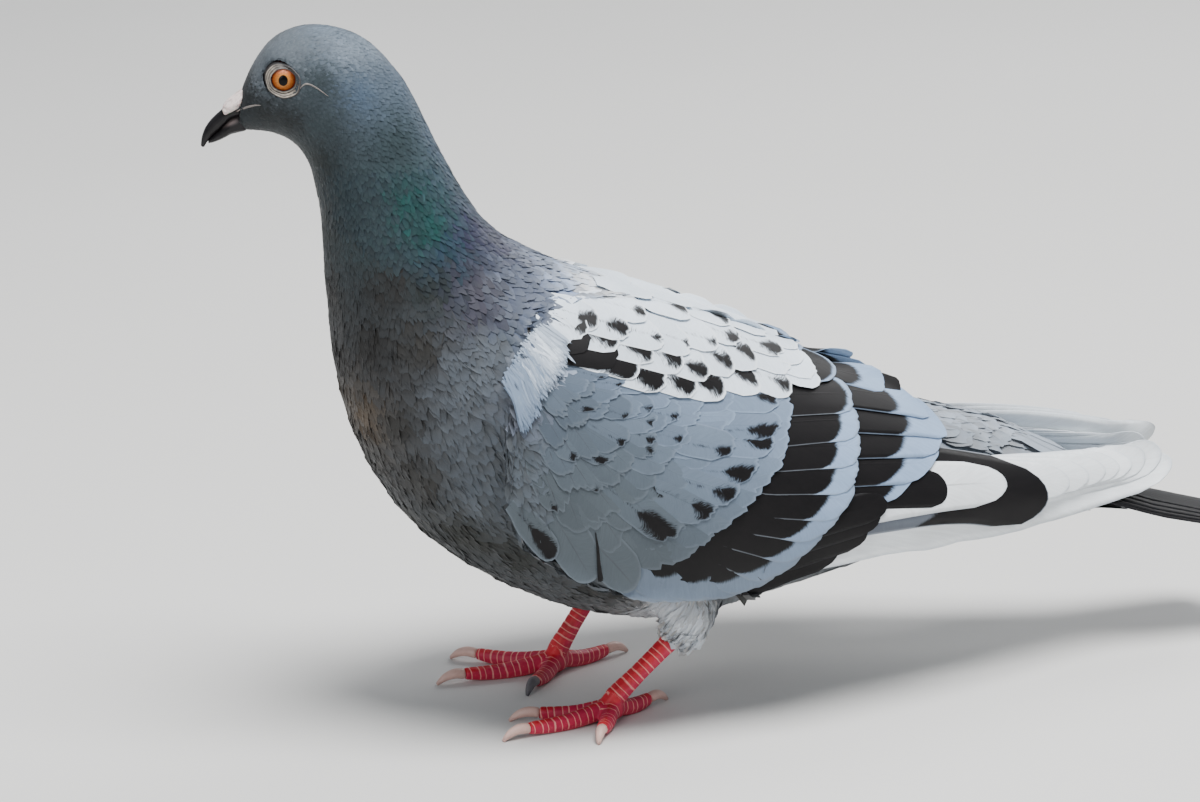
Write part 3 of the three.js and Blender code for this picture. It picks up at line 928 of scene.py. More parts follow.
def makeBodyCoat():
    roots = coatRoots()
    region = coatRegion(roots)
    pieces = [("headFeathers", "head", "head_plumage"), ("neckFeathers", "neck", "neck_plumage"),
              ("breastFeathers", "body", "body_plumage"), ("backFeathers", "back", "body_plumage"),
              ("bellyFeathers", "body", "body_plumage")]
    for number, (name, shape, slot) in enumerate(pieces):
        made = smallFeathers(name, roots[region == number], 20 + number, featherShapes[shape])
        hand(made, finishes["body" if shape == "back" else shape], slot)
        print(name, (region == number).sum(), "feathers,", len(made.data.polygons) * 2, "triangles")


def makeSkin():
    points = outside.points
    tints = coatAt(points)[3]
    depth = mixed(body["depth"], body["faceDepth"], ease(points[:, 2], 150 * mm, 176 * mm))
    points = points - pointsOf(plumageSkin, "normal") * depth[:, None]
    straight = headFrame(points)                 # flat behind the eyes, where the eyeballs are
    away = np.hypot(straight[:, 0] - eye["centre"][0], straight[:, 2] - eye["centre"][2])
    socket = (1 - ease(away, *eye["socket"])) * (points[:, 2] > eye["low"])
    aside = np.clip(np.abs(straight[:, 1]), 0, eye["flat"])
    straight[:, 1] += (np.sign(straight[:, 1]) * aside - straight[:, 1]) * socket
    points = fromHead(straight)
    setPoints(plumageSkin, points)
    paint(plumageSkin, "tint", tints)
    own = plumageSkin.data.uv_layers.new(name="OFBake")
    loops = np.zeros(len(plumageSkin.data.loops), np.int32)
    plumageSkin.data.loops.foreach_get("vertex_index", loops)
    own.data.foreach_set("uv", unwrap(points)[loops].astype(np.float32).ravel())
    smooth(plumageSkin)
    hand(plumageSkin, skinFinish(), "body_plumage", "head", "neck", "trunk", "left_thigh", "right_thigh")


# the wing's rows of feathers, laid on the sheet

plumeLook = {                                    # a wing feather that says nothing else has these
    "bow": 6,                                    # how much the shaft bends
    "taper": 0.1,                                # how much narrower towards the tip
    "root": 0.45,                                # width at the root, of the full width
    "blunt": 1.0,                                # length of the rounded end, of the half width
    "square": 2.0,
    "slope": 0.0,                                # the end's slant, lower side further out
    "ragged": 0.25,
    "layer": 0.0,                                # how deep it lies in the pile
    "tilt": 0.16,
    "rise": (-0.6, 0.3),
    "bar": (2.0, 3.0),                           # dark from here to here, of the length
    "spot": 0.0,
    "shaft": 0.2,
    "tint": colour(150, 165, 180),
}


class Plume:                                     # one feather, sizes in mm, angles below level in degrees
    def __init__(self, tip, lie, length, width, **look):
        self.tip = tip
        self.lie = lie
        self.length = length
        self.width = width
        for key, value in {**plumeLook, **look}.items():
            setattr(self, key, value)
        self.tipTint = look.get("tipTint", self.tint)
        self.edge = look.get("edge", self.tint * 1.25)


plumeInk = {"dark": rgba(10, 10, 12), "darkTip": rgba(24, 22, 23), "line": rgba(70, 70, 76)}


def plumeFinish(name="wingFeather", fringe=0.5, rimShare=0.5):
    finish = Finish(name, Sheen_Weight=0.02, Sheen_Roughness=0.4, Specular_IOR_Level=0.16)
    edge = finish.attribute("edge")
    across, along, _ = finish.uv("vane").parts()
    tipNear, sideNear, _ = finish.uv("rim").parts()          # centimetres from the end and from the side
    aside = abs(across - 0.5) * 2
    seed = finish.attribute("marks", 3)
    barFrom, barTo, spot = finish.attribute("marks").parts()
    barbs = finish.noise(finish.vector(along * 34 - aside * 9, aside * 1.2, seed * 30), 1.5, 3)
    fine = finish.noise(finish.vector(along * 70 - aside * 16, aside * 1.5, seed * 90), 1.8, 2)
    cloud = finish.noise(finish.place(), 75, 3)
    patch = finish.noise(finish.vector(across * 2.5, along * 5, seed * 70), 1.6, 2)
    wander = along + (fine - 0.5) * 0.035 + (patch - 0.5) * 0.03 + aside * aside * 0.05
    begins, ends = (wander.between(at - 0.02, at + 0.02) for at in (barFrom, barTo))
    shift = abs(across - 0.56 - (seed - 0.5) * 0.3) * 2
    climb = (along - (0.95 - 0.36 * spot) + (barbs - 0.5) * 0.16) / (0.03 + 0.38 * spot)
    wide = spot ** 0.5 * 0.85 * climb.orMore(0.0) ** 0.7 * (1.15 - 0.42 * climb)
    inside = (wide - shift + (fine - 0.5) * 0.8 + (patch - 0.5) * 0.5).between(-0.05, 0.22)
    ending = 1 - (along + (fine - 0.5) * 0.05 + shift * shift * 0.05).between(0.955, 0.99)
    mark = inside * ending * spot.between(0.02, 0.1)
    ground = finish.blend(ends, finish.attribute("tint"), finish.attribute("tipTint"))
    light = 0.93 + 0.24 * (barbs - 0.5) + 0.22 * (cloud - 0.5) + 0.12 * (fine - 0.5) + 0.03 * along
    ground = finish.lit(ground, light)
    soft = (1 - tipNear.between(0, 0.13)).orMore(1 - sideNear.between(0, 0.07))
    ground = finish.blend(soft * fringe, ground, edge)
    shaftLine = (1 - aside.between(0.01, 0.05)) * (1 - along.between(0.75, 0.98))
    ground = finish.blend(shaftLine * finish.attribute("edge", 3), ground, plumeInk["line"])
    dark = finish.blend(barbs * 0.5 + 0.5 * patch, plumeInk["dark"], plumeInk["darkTip"])
    rim = (1 - sideNear.between(0.012, 0.04)).orMore(1 - tipNear.between(0.01, 0.04)) * (0.5 + 0.8 * patch)
    dark = finish.blend(rim * rimShare, dark, edge)
    shade = finish.blend((begins * (1 - ends)).orMore(mark), ground, dark)
    return finish.ready(Base_Color=shade, Roughness=0.42 + 0.16 * barbs,
                        Normal=finish.bump(barbs * 0.6 + shaftLine))


def bend(plume):                                 # the shaft's line on the sheet, and on past the tip
    fine = np.linspace(0, 1.5, 61)
    turn = np.radians(plume.lie + plume.bow * (fine - 1))
    step = np.stack([np.cos(turn), -np.sin(turn)], 1) * plume.length / 40
    line = np.concatenate([[[0, 0]], np.cumsum((step[1:] + step[:-1]) / 2, axis=0)])
    return fine, line + np.array(plume.tip) - line[40], turn


def plumeShape(plume, rows, columns, draw):      # sheet places, height over the sheet, and the two uv maps
    down = np.sin(np.linspace(0, math.pi / 2, rows))[:, None]
    across = np.linspace(-1, 1, columns)
    wide = plume.width / 2
    reach = plume.length + plume.slope * across * wide - plume.blunt * wide * roundTip(across, plume.square)
    reach -= np.abs(draw.normal(0, plume.ragged, columns))
    share = down * reach / plume.length
    fine, line, turn = bend(plume)
    middle = np.stack([np.interp(share, fine, line[:, k]) for k in range(2)], -1)
    turns = np.interp(share, fine, turn)
    below = np.stack([-np.sin(turns), -np.cos(turns)], -1)
    narrow = 1 - plume.taper * np.clip((share - 0.4) / 0.6, 0, 1.2) ** 2
    half = wide * (plume.root + (1 - plume.root) * ease(share, 0, 0.4)) * narrow
    flat = (middle + below * (half * across)[..., None]) * mm
    root, tip = plume.rise
    height = root + (tip - root) * share + plume.layer + plume.tilt * across - 0.15 * across ** 2
    height = height + draw.normal(0, 0.02, columns) * down ** 4
    own = np.stack(np.broadcast_arrays((across + 1) / 2, 0.2 * share + 0.8 * down), -1)
    rim = np.stack([(1 - down) * reach / 10, (1 - np.abs(across)) * half / 10], -1)
    return flat, height * mm, own, rim


def laidOut(ground, plumes, rows, columns, seed):
    draw = np.random.default_rng(seed)
    shapes = [plumeShape(plume, rows, columns, draw) for plume in plumes]
    flats, heights, own, rim = (np.array(column) for column in zip(*shapes))
    spots, normals = ground.at(flats)
    grid = spots + normals * heights[..., None]
    cells = math.ceil(math.sqrt(len(plumes)))
    cell = np.stack(np.divmod(np.arange(len(plumes)), cells), 1)[:, None, None, :]
    whole = own / np.array([1, own[..., 1].max()])
    places = {"vane": own, "rim": rim, "OFBake": (cell + 0.04 + 0.92 * whole) / cells}
    paints = {
        "tint": np.array([p.tint for p in plumes]) * draw.normal(1, 0.03, (len(plumes), 1)),
        "tipTint": np.array([p.tipTint for p in plumes]),
        "edge": np.hstack([np.clip([p.edge for p in plumes], 0, 0.95), [[p.shaft] for p in plumes]]),
        "marks": np.hstack([[[*p.bar, p.spot] for p in plumes], draw.random((len(plumes), 1))]),
    }
    return grid, places, paints


def plumesOn(ground, name, plumes, rows, columns, seed):
    return vaneMesh(name, *laidOut(ground, plumes, rows, columns, seed))


def mirrored(name, grid, places, paints):        # columns run the other way, so that faces point out
    places = {title: np.broadcast_to(values, (*grid.shape[:3], 2))[:, :, ::-1]
              for title, values in places.items()}
    return vaneMesh(name, (grid * [1, -1, 1])[:, :, ::-1], places, paints)


def bothWings(name, plumes, rows, columns, seed, thick=0.0, leftOnly=0, rightOnly=()):
    left = plumesOn(sheet, "left" + name, plumes, rows, columns, seed)
    plumes = plumes[leftOnly:] + list(rightOnly)
    right = mirrored("right" + name, *laidOut(sheet, plumes, rows, columns, seed))
    if thick:
        for piece in (left, right):
            modify(piece, "SOLIDIFY", thickness=thick * mm, offset=-1)
    return left, right


def slantEnds(plumes):                           # the ends of a row follow the line through its tips
    tips = np.array([p.tip for p in plumes])
    for k, plume in enumerate(plumes):
        way = tips[min(k + 1, len(plumes) - 1)] - tips[max(k - 1, 0)]
        turn = math.radians(plume.lie)
        forward = way @ np.array([math.cos(turn), -math.sin(turn)])
        down = way @ np.array([-math.sin(turn), -math.cos(turn)])
        plume.slope = float(np.clip(forward / max(down, 0.1), -0.9, 0.9))


# upper and lower tones: the lower rows darker, partly their own tone and partly painted shade from the light
# above
coverLook = {title: colour(*shade) for title, shade in {
    "upper": (119, 136, 158), "lower": (80, 88, 94), "front": (88, 101, 118), "edgeUpper": (146, 165, 190),
    "edgeLower": (98, 106, 114), "white": (222, 233, 244), "tipUpper": (143, 166, 196),
    "tipLower": (108, 121, 137), "brown": (42, 37, 37), "black": (18, 18, 21), "snow": (238, 243, 246),
    "quill": (150, 158, 168), "stripe": (98, 104, 114),
}.items()}
coverArcs = [        # (angle from the shoulder, reach) of the tips, how many, length and width in mm
    ([(14, 86), (22, 87), (30, 87), (35, 86), (43, 84), (49, 82), (54, 81), (62, 78)], 12, 30, 12),
    ([(15, 77), (40, 76), (66, 72)], 14, 26, 10.5),
    ([(16, 68), (50, 67), (70, 65)], 13, 23, 10),
    ([(20, 59), (82, 58)], 15, 20, 9),
    ([(22, 50), (88, 50)], 14, 18, 8.4),
    ([(26, 42), (92, 42)], 13, 16, 7.6),
    ([(30, 34), (96, 34)], 12, 14, 6.8),
    ([(34, 27), (100, 27)], 10, 13, 6.2),
]
coverLies = [(-20, 18), (10, 4), (18, 2), (30, 11), (45, 28), (58, 46), (70, 62), (85, 74), (110, 84)]
coverMarks = [                                   # dark marks: reach and angle from the shoulder, size 0-1
    (79, 23.6, 0.95), (78.7, 28, 0.85), (76, 34.5, 1.0), (75.6, 41, 0.7), (73.3, 47.5, 0.7), (68, 56, 1.3),
    (61, 53, 0.4), (79, 17.5, 0.7), (69, 33, 0.5), (62, 36, 0.45), (55.6, 36.5, 0.3), (51, 31.6, 0.35),
    (46, 40, 0.3), (48, 43.6, 0.4), (50.4, 47.5, 0.3), (43, 35, 0.3), (38, 42, 0.3), (42, 51, 0.45),
    (42.6, 61, 0.6), (38, 72, 0.35), (28.6, 53, 0.55), (49.7, 82, 0.25), (49, 68, 0.2), (32, 32, 0.3),
    (26.5, 34, 0.3),
]
lowerFront = [                                   # broad feathers on top, where the wing meets the breast
    {"tip": (-78, 28), "lie": 52, "length": 20, "width": 7, "spot": 1.6},
    {"tip": (-67.3, 20.8), "lie": 60, "length": 22, "width": 11, "shaft": 0.3},
    {"tip": (-54.5, 18), "lie": 46, "length": 22, "width": 11, "shaft": 0.4},
]


def fan(reach, angle):                           # a sheet place from the shoulder's reach and angle
    turn = math.radians(angle)
    return wing["shoulder"] / mm + np.array([math.cos(turn), -math.sin(turn)]) * reach


def coverts():
    draw = np.random.default_rng(71)
    rows = []
    for number, (arc, count, length, width) in enumerate(coverArcs):
        angles, reaches = zip(*arc)
        plumes = []
        for k in range(count):
            angle = angles[0] + (angles[-1] - angles[0]) * (k + (number % 2) * 0.5) / (count - 0.5)
            reach = np.interp(angle, angles, reaches)
            # darker towards the lower rows: partly the feathers' own tone, partly painted shade
            low = ease(angle, 12, 64)
            near = 0.5 * (1 - ease(reach, 25, 60))
            tint = mixed(mixed(coverLook["upper"], coverLook["lower"], low), coverLook["front"], near)
            tip = fan(reach, angle) + draw.normal(0, 1.1 if number else 0.5, 2)
            lie = np.interp(angle, *zip(*coverLies)) + draw.normal(0, 2.5)
            long, wide = length * draw.uniform(0.92, 1.1), width * draw.uniform(0.95, 1.1)
            plumes.append(Plume(tip, lie, long, wide, tint=tint * draw.normal(1, 0.05),
                                edge=mixed(coverLook["edgeUpper"], coverLook["edgeLower"], low),
                                shaft=0.04 + 0.3 * ease(angle, 50, 70), ragged=0.7,
                                rise=(-0.6, 0.12 if number else 0.42), layer=0.05 * number))
        slantEnds(plumes)
        rows.append(plumes)
    first = rows[0]
    rest = [p for row in rows[1:] for p in row if p.tip[0] > -77]
    tips = np.array([p.tip for p in rest])
    for reach, angle, size in coverMarks:        # the nearest feather moves so that its end carries the mark
        tip = fan(reach + 3.5 * size + 1, angle)
        nearest = np.argmin(np.linalg.norm(tips - tip, axis=1))
        tips[nearest] = 1e6
        rest[nearest].spot = size
        rest[nearest].tip = tip
        rest[nearest].layer += 0.45 * (reach > 67)
    black = coverLook["black"]
    broad = [Plume(tint=coverLook["lower"], edge=coverLook["edgeLower"] * 1.15, layer=0.55, rise=(-0.7, 0.25),
                   tilt=0.1, ragged=0.12, **look) for look in lowerFront]
    stray = Plume((-65.2, 20.5), 85, 12.5, 0.9, tint=black, edge=black, layer=0.95, bar=(0, 2), taper=-1.2,
                  root=0.3)
    return first + rest + broad + [stray]


greaterRow = {
    "count": 13, "from": 12.5, "over": 53.5,     # feathers, and the angles they cover
    "arc": [(12, 107), (18, 109), (24, 110), (32, 111), (36, 108), (42, 106), (49, 101), (58, 92), (66, 84)],
    "ends": [(12, 0.97), (17, 0.86), (21, 0.83), (34, 0.84), (39, 0.87), (47, 0.865), (52, 0.82), (58, 0.74),
             (66, 0.6)],                         # where the black ends
    "inner": [(2.0, 97, 15), (7.5, 104, 16)],    # brown-black to the tip: angle, reach and width
}


def greaterCoverts():
    plumes = [Plume(fan(reach, angle), 12, 46, width, tint=coverLook["brown"], edge=coverLook["quill"] * 0.7,
                    tilt=0.3, bar=(0.2, 0.97), tipTint=coverLook["tipUpper"], layer=0.2)
              for angle, reach, width in greaterRow["inner"]]
    row = []
    for k in range(greaterRow["count"]):
        angle = greaterRow["from"] + greaterRow["over"] * k / (greaterRow["count"] - 1)
        # tips and ground darker towards the lower feathers: partly own tone, partly painted shade
        low = ease(angle, 20, 55)
        reach, ends, lie = (np.interp(angle, *zip(*table))
                            for table in (greaterRow["arc"], greaterRow["ends"], coverLies))
        row.append(Plume(fan(reach, angle), lie - 1, 46, 14.5 - 2 * low, tint=coverLook["lower"],
                         tipTint=mixed(coverLook["tipUpper"], coverLook["tipLower"], low),
                         edge=coverLook["quill"] * 0.65, bar=(0.2, ends), tilt=0.3, rise=(-0.9, 0.35),
                         layer=-0.05 * k, blunt=0.8, square=2.3, ragged=0.3))
    slantEnds(row)
    return plumes + row


scapularRows = [         # length and width of a row's feathers, then tips (x, s) and size of each mark
    (27, 13.5, [(-65, 86, 2), (-57.5, 81.5, 2), (-51.5, 77, 1.6), (-43.5, 73.5, 1.15), (-34, 71, 0.95),
                (-25, 70, 0.95), (-13, 70.5, 0.85), (-2, 69.5, 0.55), (9, 72.5, 0)]),
    (25, 13, [(-65, 90, 0.9), (-56, 85.5, 1.2), (-46, 81, 0.85), (-37, 78.5, 0.8), (-29, 75, 0.8),
              (-20, 76.5, 0.7), (-11, 78.5, 0.7), (0, 77, 0.3), (9, 76, 0)]),
    (23, 12, [(-61, 92, 0.8), (-52, 88.5, 0.8), (-42, 85, 0.3), (-33, 83, 0.2), (-23, 84.5, 0.3),
              (-14, 86.5, 0.6), (0, 83, 0.8), (6, 80, 0)]),
    (20, 11, [(-45, 93, 0.5), (-29, 94, 0.8), (-14, 92.5, 0.8), (-2, 89.5, 0), (7, 85, 0)]),
    (18, 10, [(-38, 101, 0), (-24, 99, 0), (-10, 97, 0), (0, 93, 0)]),
]


def scapulars():
    draw = np.random.default_rng(72)
    plumes = []
    for number, (length, width, tips) in enumerate(scapularRows):
        for x, s, size in tips:
            lie = 22 + 5 * (x + 60) / 60 + draw.normal(0, 2)
            under = number > 0 and x < -57       # these start under the coat
            whole = size > 1.6                   # dark all over
            long = min(length, 14 + 1.5 * (x + 66))
            wide = width * draw.uniform(0.92, 1.1)
            plumes.append(Plume((x + 2, s - 0.5), lie, long, wide, spot=size, shaft=0.05, bow=8, ragged=0.5,
                                tint=coverLook["white"] * draw.normal(1, 0.02), slope=0.3,
                                edge=coverLook["black" if whole else "snow"], bar=(0, 2) if whole else (2, 3),
                                layer=0.5 + 0.22 * number, rise=(-2.2 if under else -0.8, 0.25),
                                root=0.08 if under else 0.45))
    return plumes


strands = {                                      # the tips stay inside a line, x for each s
    "count": 1050, "seed": 73, "from": (-87.5, 70), "to": (-72, 93),
    "below": (-86, 74, 1.25),                    # roots are below this slanting line
    "line": [(62, -86), (66, -83.5), (71, -79.5), (75.4, -75), (79, -72.5), (84, -72), (88, -74)],
    "lies": ((-92, -80, -68), (84, 66, 30)),     # for each x
    "longer": ((76, 84, 93), (1.15, 1.0, 0.8)),  # for each s
}


def shoulderStrands():                           # narrow soft white feathers over the front of the wing
    draw = np.random.default_rng(strands["seed"])
    plumes = []
    start, height, steep = strands["below"]
    while len(plumes) < strands["count"]:
        x, s = draw.uniform(strands["from"], strands["to"])
        if s > height + (x - start) * steep:
            continue
        lie = np.interp(x, *strands["lies"]) + draw.normal(0, 7)
        long = draw.uniform(9, 15) * np.interp(s, *strands["longer"])
        turn = math.radians(lie)
        tip = np.array([x, s]) + np.array([math.cos(turn), -math.sin(turn)]) * long * 0.6
        inside = np.interp(tip[1], *zip(*strands["line"])) - tip[0]
        if inside < draw.normal(0, 1.2):
            continue
        pale = np.clip((x + 86) / 8 + draw.normal(0, 0.25), 0, 1) * ease(tip[1], 60, 72)
        pale *= 0.3 + 0.7 * ease(inside + 0.15 * (tip[1] - 75), -0.5, 3.5)
        bright = mixed(coverLook["upper"], coverLook["white"], pale) * draw.normal(0.97, 0.05)
        plumes.append(Plume(tip, lie, long, draw.uniform(0.6, 1.6), tint=bright, edge=bright * 1.05, shaft=0,
                            layer=draw.uniform(0.5, 1.3), rise=(-0.7, 0.2), tilt=0.1, taper=0.5, blunt=3.0,
                            bow=draw.normal(4, 8), ragged=0.4))
    return plumes


tertials = [                                     # tip, lie, width, and where the black band ends
    ((41, 70), 16, 8, 1.5), ((36, 72), 18, 10, 0.87), ((45, 65.5), 11, 14, 0.86), ((51, 59.5), 7, 16, 0.80),
    ((49.5, 53), 3, 15, 0.78), ((43.5, 44.5), 2, 14, 0.83), ((34, 38.5), 0, 12, 0.92),
    ((24.5, 34.5), -3, 10, 0.95),
]
primaryTips = [(70, 38.5), (85, 32.5), (94, 38), (102, 40), (109, 42), (115, 43.5), (120.5, 44.7),
               (125.5, 45.8), (129.0, 46.3), (130.5, 44.5)]
primaryLook = {"tint": coverLook["snow"], "edge": coverLook["quill"] * 1.5, "shaft": 0.35, "blunt": 1.6,
               "root": 0.8, "rise": (0, 0.2), "tilt": 0.1, "ragged": 0.1}
blackLook = {"tint": coverLook["black"], "bar": (0, 2)}


def flightFeathers():
    plumes = []
    contour = [Plume(tip, lie, 62, width) for tip, lie, width, _ in tertials]
    slantEnds(contour[2:])
    for number, (tip, lie, width, ends) in enumerate(tertials):
        look = {"tilt": 0.3, "rise": (-0.5, 0.45)} if number > 1 else {"tilt": 0.05, "rise": (-0.5, 0.1)}
        plumes.append(Plume(tip, lie, 62, width, tint=coverLook["tipUpper"], bar=(0.1, ends),
                            edge=coverLook["edgeUpper" if number else "brown"], square=2.4, ragged=0.2,
                            layer=-0.8 - (0.25 * number if number else 0.4), bow=4,
                            blunt=0.8 if number else 1.3, slope=contour[number].slope, **look))
    for number, tip in enumerate(primaryTips):
        share = max(number - 2, 0) / 7
        look = dict(primaryLook, layer=-2.4 - 0.32 * number, taper=0.2 + 0.25 * share)
        width, lie, bow, length = 16 - share, 6 - 21 * share, 12 - 22 * share, 88 + 47 * share
        if number == 0:
            width, lie, bow = 17, -1, 9
        if number == 1:                          # the one with the grey stripe
            look.update(bar=(0.58, 1.2), tint=coverLook["stripe"])
            width, lie, bow, length = 26, 16, 36, 92
        plumes.append(Plume(tip, lie, length, width, bow=bow, **look))
    plumes.append(Plume((47, 36.5), 3, 50, 13, edge=coverLook["black"] * 2, layer=-2.2, rise=(-0.2, 0.1),
                        tilt=0.1, bow=2, ragged=0.08, **blackLook))
    for number, tip in enumerate([(24.5, 33), (22, 29.5), (18, 25.5), (9, 21.5)]):
        plumes.append(Plume(tip, -9, 40, 9.5, edge=coverLook["black"] * 2.2, layer=-1.5 - 0.2 * number,
                            rise=(-0.4, 0.3), tilt=0.2, bow=3, blunt=1.6, **blackLook))
    return plumes


def farTip():                                    # the right wing's tip lies higher on the tail
    return [Plume(tip, lie, 72, 12, layer=layer, bow=9, taper=0.3, **primaryLook)
            for tip, lie, layer in [((119, 47.8), 3, -2.5), ((127.5, 46.5), 4, -2.8), ((135, 45.1), 5, -3.1)]]


def makeWings():
    finish = plumeFinish()
    flight = plumeFinish("flightFeather", 0.35)
    sets = [("ShoulderStrands", shoulderStrands(), 6, 3, 0), ("Scapulars", scapulars(), 12, 13, 0),
            ("Coverts", coverts(), 11, 13, 0), ("GreaterCoverts", greaterCoverts(), 16, 15, 0),
            ("FlightFeathers", flightFeathers(), 28, 11, 0.22)]
    for number, (name, plumes, rows, columns, thick) in enumerate(sets):
        apart = (1, farTip()) if thick else ()   # the right wing has no stray innermost tertial
        pieces = bothWings(name, plumes, rows, columns, 40 + number, thick, *apart)
        for piece, node in zip(pieces, ("left_wing", "right_wing")):
            replaced = [node] if thick else []
            hand(piece, flight if thick else finish, "wing_feathers", *replaced)
            print(piece.name, len(plumes), "feathers,", len(piece.data.polygons) * 2, "triangles")


# the tail: twelve feathers, and the coverts above and below

tail = {                                         # heights of the two faces along the tail, in mm
    "top": [(60, 69), (80, 66.5), (97.5, 60), (109, 52.6), (126, 45.8), (144, 40.2), (155, 37), (161, 34.9)],
    "under": [(60, 40), (90, 43.5), (109, 42.4), (126, 40.0), (144, 36.4), (155, 34.2), (161, 33.2)],
    "crown": (0.0045, 0.012),                    # arch of the top, and how much more at the root
    "hollow": -0.010,
    "slim": (90 * mm, 50 * mm),
    "grey": colour(88, 97, 108),
    "thick": 0.2 * mm,
    "feathers": [(2.2, 160.2), (5.5, 160.4), (8.3, 159.8), (10.4, 159), (12, 157.6), (13.2, 155.6)],
    "above": [(124, (0, 5.5)), (118, (3, 8.5)), (112, (0, 5, 9.5)), (106, (2.5, 6.5)), (100, (0, 4))],
    "below": [(122, (0, 6)), (112, (3, 9)), (102, (0, 7, 12)), (92, (4, 10))],
    "drape": [(-0.6, 0.3), (-0.6, 0.3), (3.5, 0.3), (3.5, 0.5), (3.5, 0.7)],     # of the rows above
}


class TailSheet(Sheet):                          # x along the tail, s across it
    feel = 1.5 * mm

    def __init__(self, face):
        self.reach, self.height = (np.array(column) * mm for column in zip(*tail[face]))
        self.side = 1 if face == "top" else -1

    def spot(self, flat):
        x, s = flat[..., 0], flat[..., 1]
        start, over = tail["slim"]
        slim = np.clip((x - start) / over, 0, 1)
        high = np.interp(x, self.reach, self.height)
        least, more = tail["crown"]
        arch = least + more * (1 - slim) if self.side > 0 else tail["hollow"]
        crown = arch * s * s / mm
        return np.stack([x, s * self.side, high - crown], -1)


def makeTail():
    plumes = []
    for number, (off, tip) in enumerate(tail["feathers"]):
        inner = number < 5
        for side in (1, -1):
            plumes.append(Plume((tip, off * side), -2.2 * side * number / 5, 90, 15.5 if inner else 12.5,
                                tint=tail["grey"], tipTint=tail["grey"] * 0.8, bar=(0.5, 0.975),
                                edge=tail["grey"] * (0.55 if inner else 1.0), bow=1.5 * side,
                                layer=-0.9 - 0.26 * number - 0.13 * (side > 0), rise=(0, 0.1),
                                tilt=0.04 * side, root=0.7, blunt=0.8, square=2.5, ragged=0.15, shaft=0.3,
                                taper=0.05))
    feathers = plumesOn(TailSheet("top"), "tailFeathers", plumes, 24, 11, 61)
    modify(feathers, "SOLIDIFY", thickness=tail["thick"], offset=-1)
    hand(feathers, plumeFinish("tailFeather", 0.2, 0.12), "tail_feathers", "tail")
    soft = plumeFinish("tailCovert", 0.2)
    draw = np.random.default_rng(62)
    for face, rows, tone in (("top", tail["above"], tones["rump"]), ("under", tail["below"], tones["vent"])):
        plumes = []
        for number, (tip, offs) in enumerate(rows):
            drape = tail["drape"][number if face == "top" else 0]
            for off in sorted({side * o for o in offs for side in (1, -1)}):
                tint = tone * draw.normal(1, 0.05)
                place = (tip + draw.normal(0, 1) - abs(off) * 0.5, off)
                plumes.append(Plume(place, -off * 0.5, 32, 10, tint=tint, edge=tint * 1.06, shaft=0.1,
                                    layer=0.1 + 0.15 * number, rise=drape, ragged=0.3,
                                    bow=draw.normal(0, 2), tilt=0.05))
        made = plumesOn(TailSheet(face), "tailCoverts" + face.title(), plumes, 10, 9, 63)
        hand(made, soft, "tail_feathers")
        print(made.name, len(plumes), "feathers")


# eyes, their rings, the cere and the bill

eye.update({
    "pupil": (1.32, 1.58),                       # half width and half height, in mm
    "bulge": 0.35 * mm,
    "wet": 0.985,                                # the drawn ball, of the ball's size
    "folds": [(3.20, -0.55), (3.24, 0.0), (3.38, 0.26), (3.62, 0.36), (3.80, 0.26), (3.88, 0.10),
              (4.00, 0.30), (4.22, 0.42), (4.38, 0.32), (4.45, 0.12), (4.55, 0.30), (4.72, 0.38),
              (4.90, 0.20), (5.12, -0.2), (5.45, -1.0)],         # the ring's radius and height, in mm
    "rim": 5.9 * mm,                             # the ring meets the feathers here
    "across": (3.3 * mm, 5.4 * mm),              # from the ball's edge to the outer rim
    "lidGap": 0.12 * mm,
    "lidLow": 3.4 * mm,
    "stretch": (1.03, 0.98),
})


def faceDepth(x, z, side):                       # how far out the head is at x, z of the straight head
    start = fromHead(np.array([x, side * 0.03, z]))
    way = turnedHead(np.array([0.0, -side, 0.0]), 0)
    hit = outside.tree.ray_cast(Vector(start), Vector(way), 0.03)[0]
    if hit is None:                              # in front of the head, beside the bill
        return side * bill["half"]
    return headFrame(np.array(hit))[1]


def makeEyes():
    for name, side in (("left_eye", -1), ("right_eye", 1)):
        bpy.ops.mesh.primitive_uv_sphere_add(segments=96, ring_count=64, radius=eye["ball"] * eye["wet"])
        ball = bpy.context.object
        ball.name = name.replace("_e", "E")
        pick(ball)
        bpy.ops.transform.rotate(value=math.pi / 2, orient_axis="X", center_override=(0, 0, 0))
        settle(ball)
        points = pointsOf(ball)
        x, _, z = points.T / mm
        front = points[:, 1] * side > 0
        off = np.hypot(points[:, 0], points[:, 2])
        points[:, 1] += side * eye["bulge"] * front * (1 - ease(off, 1 * mm, 3.6 * mm))
        paint(ball, "iris", x, z)
        setPoints(ball, fromHead(points + eye["centre"] * [1, side, 1]))
        smooth(ball)
        hand(ball, eyeFinish(), "eye", name)


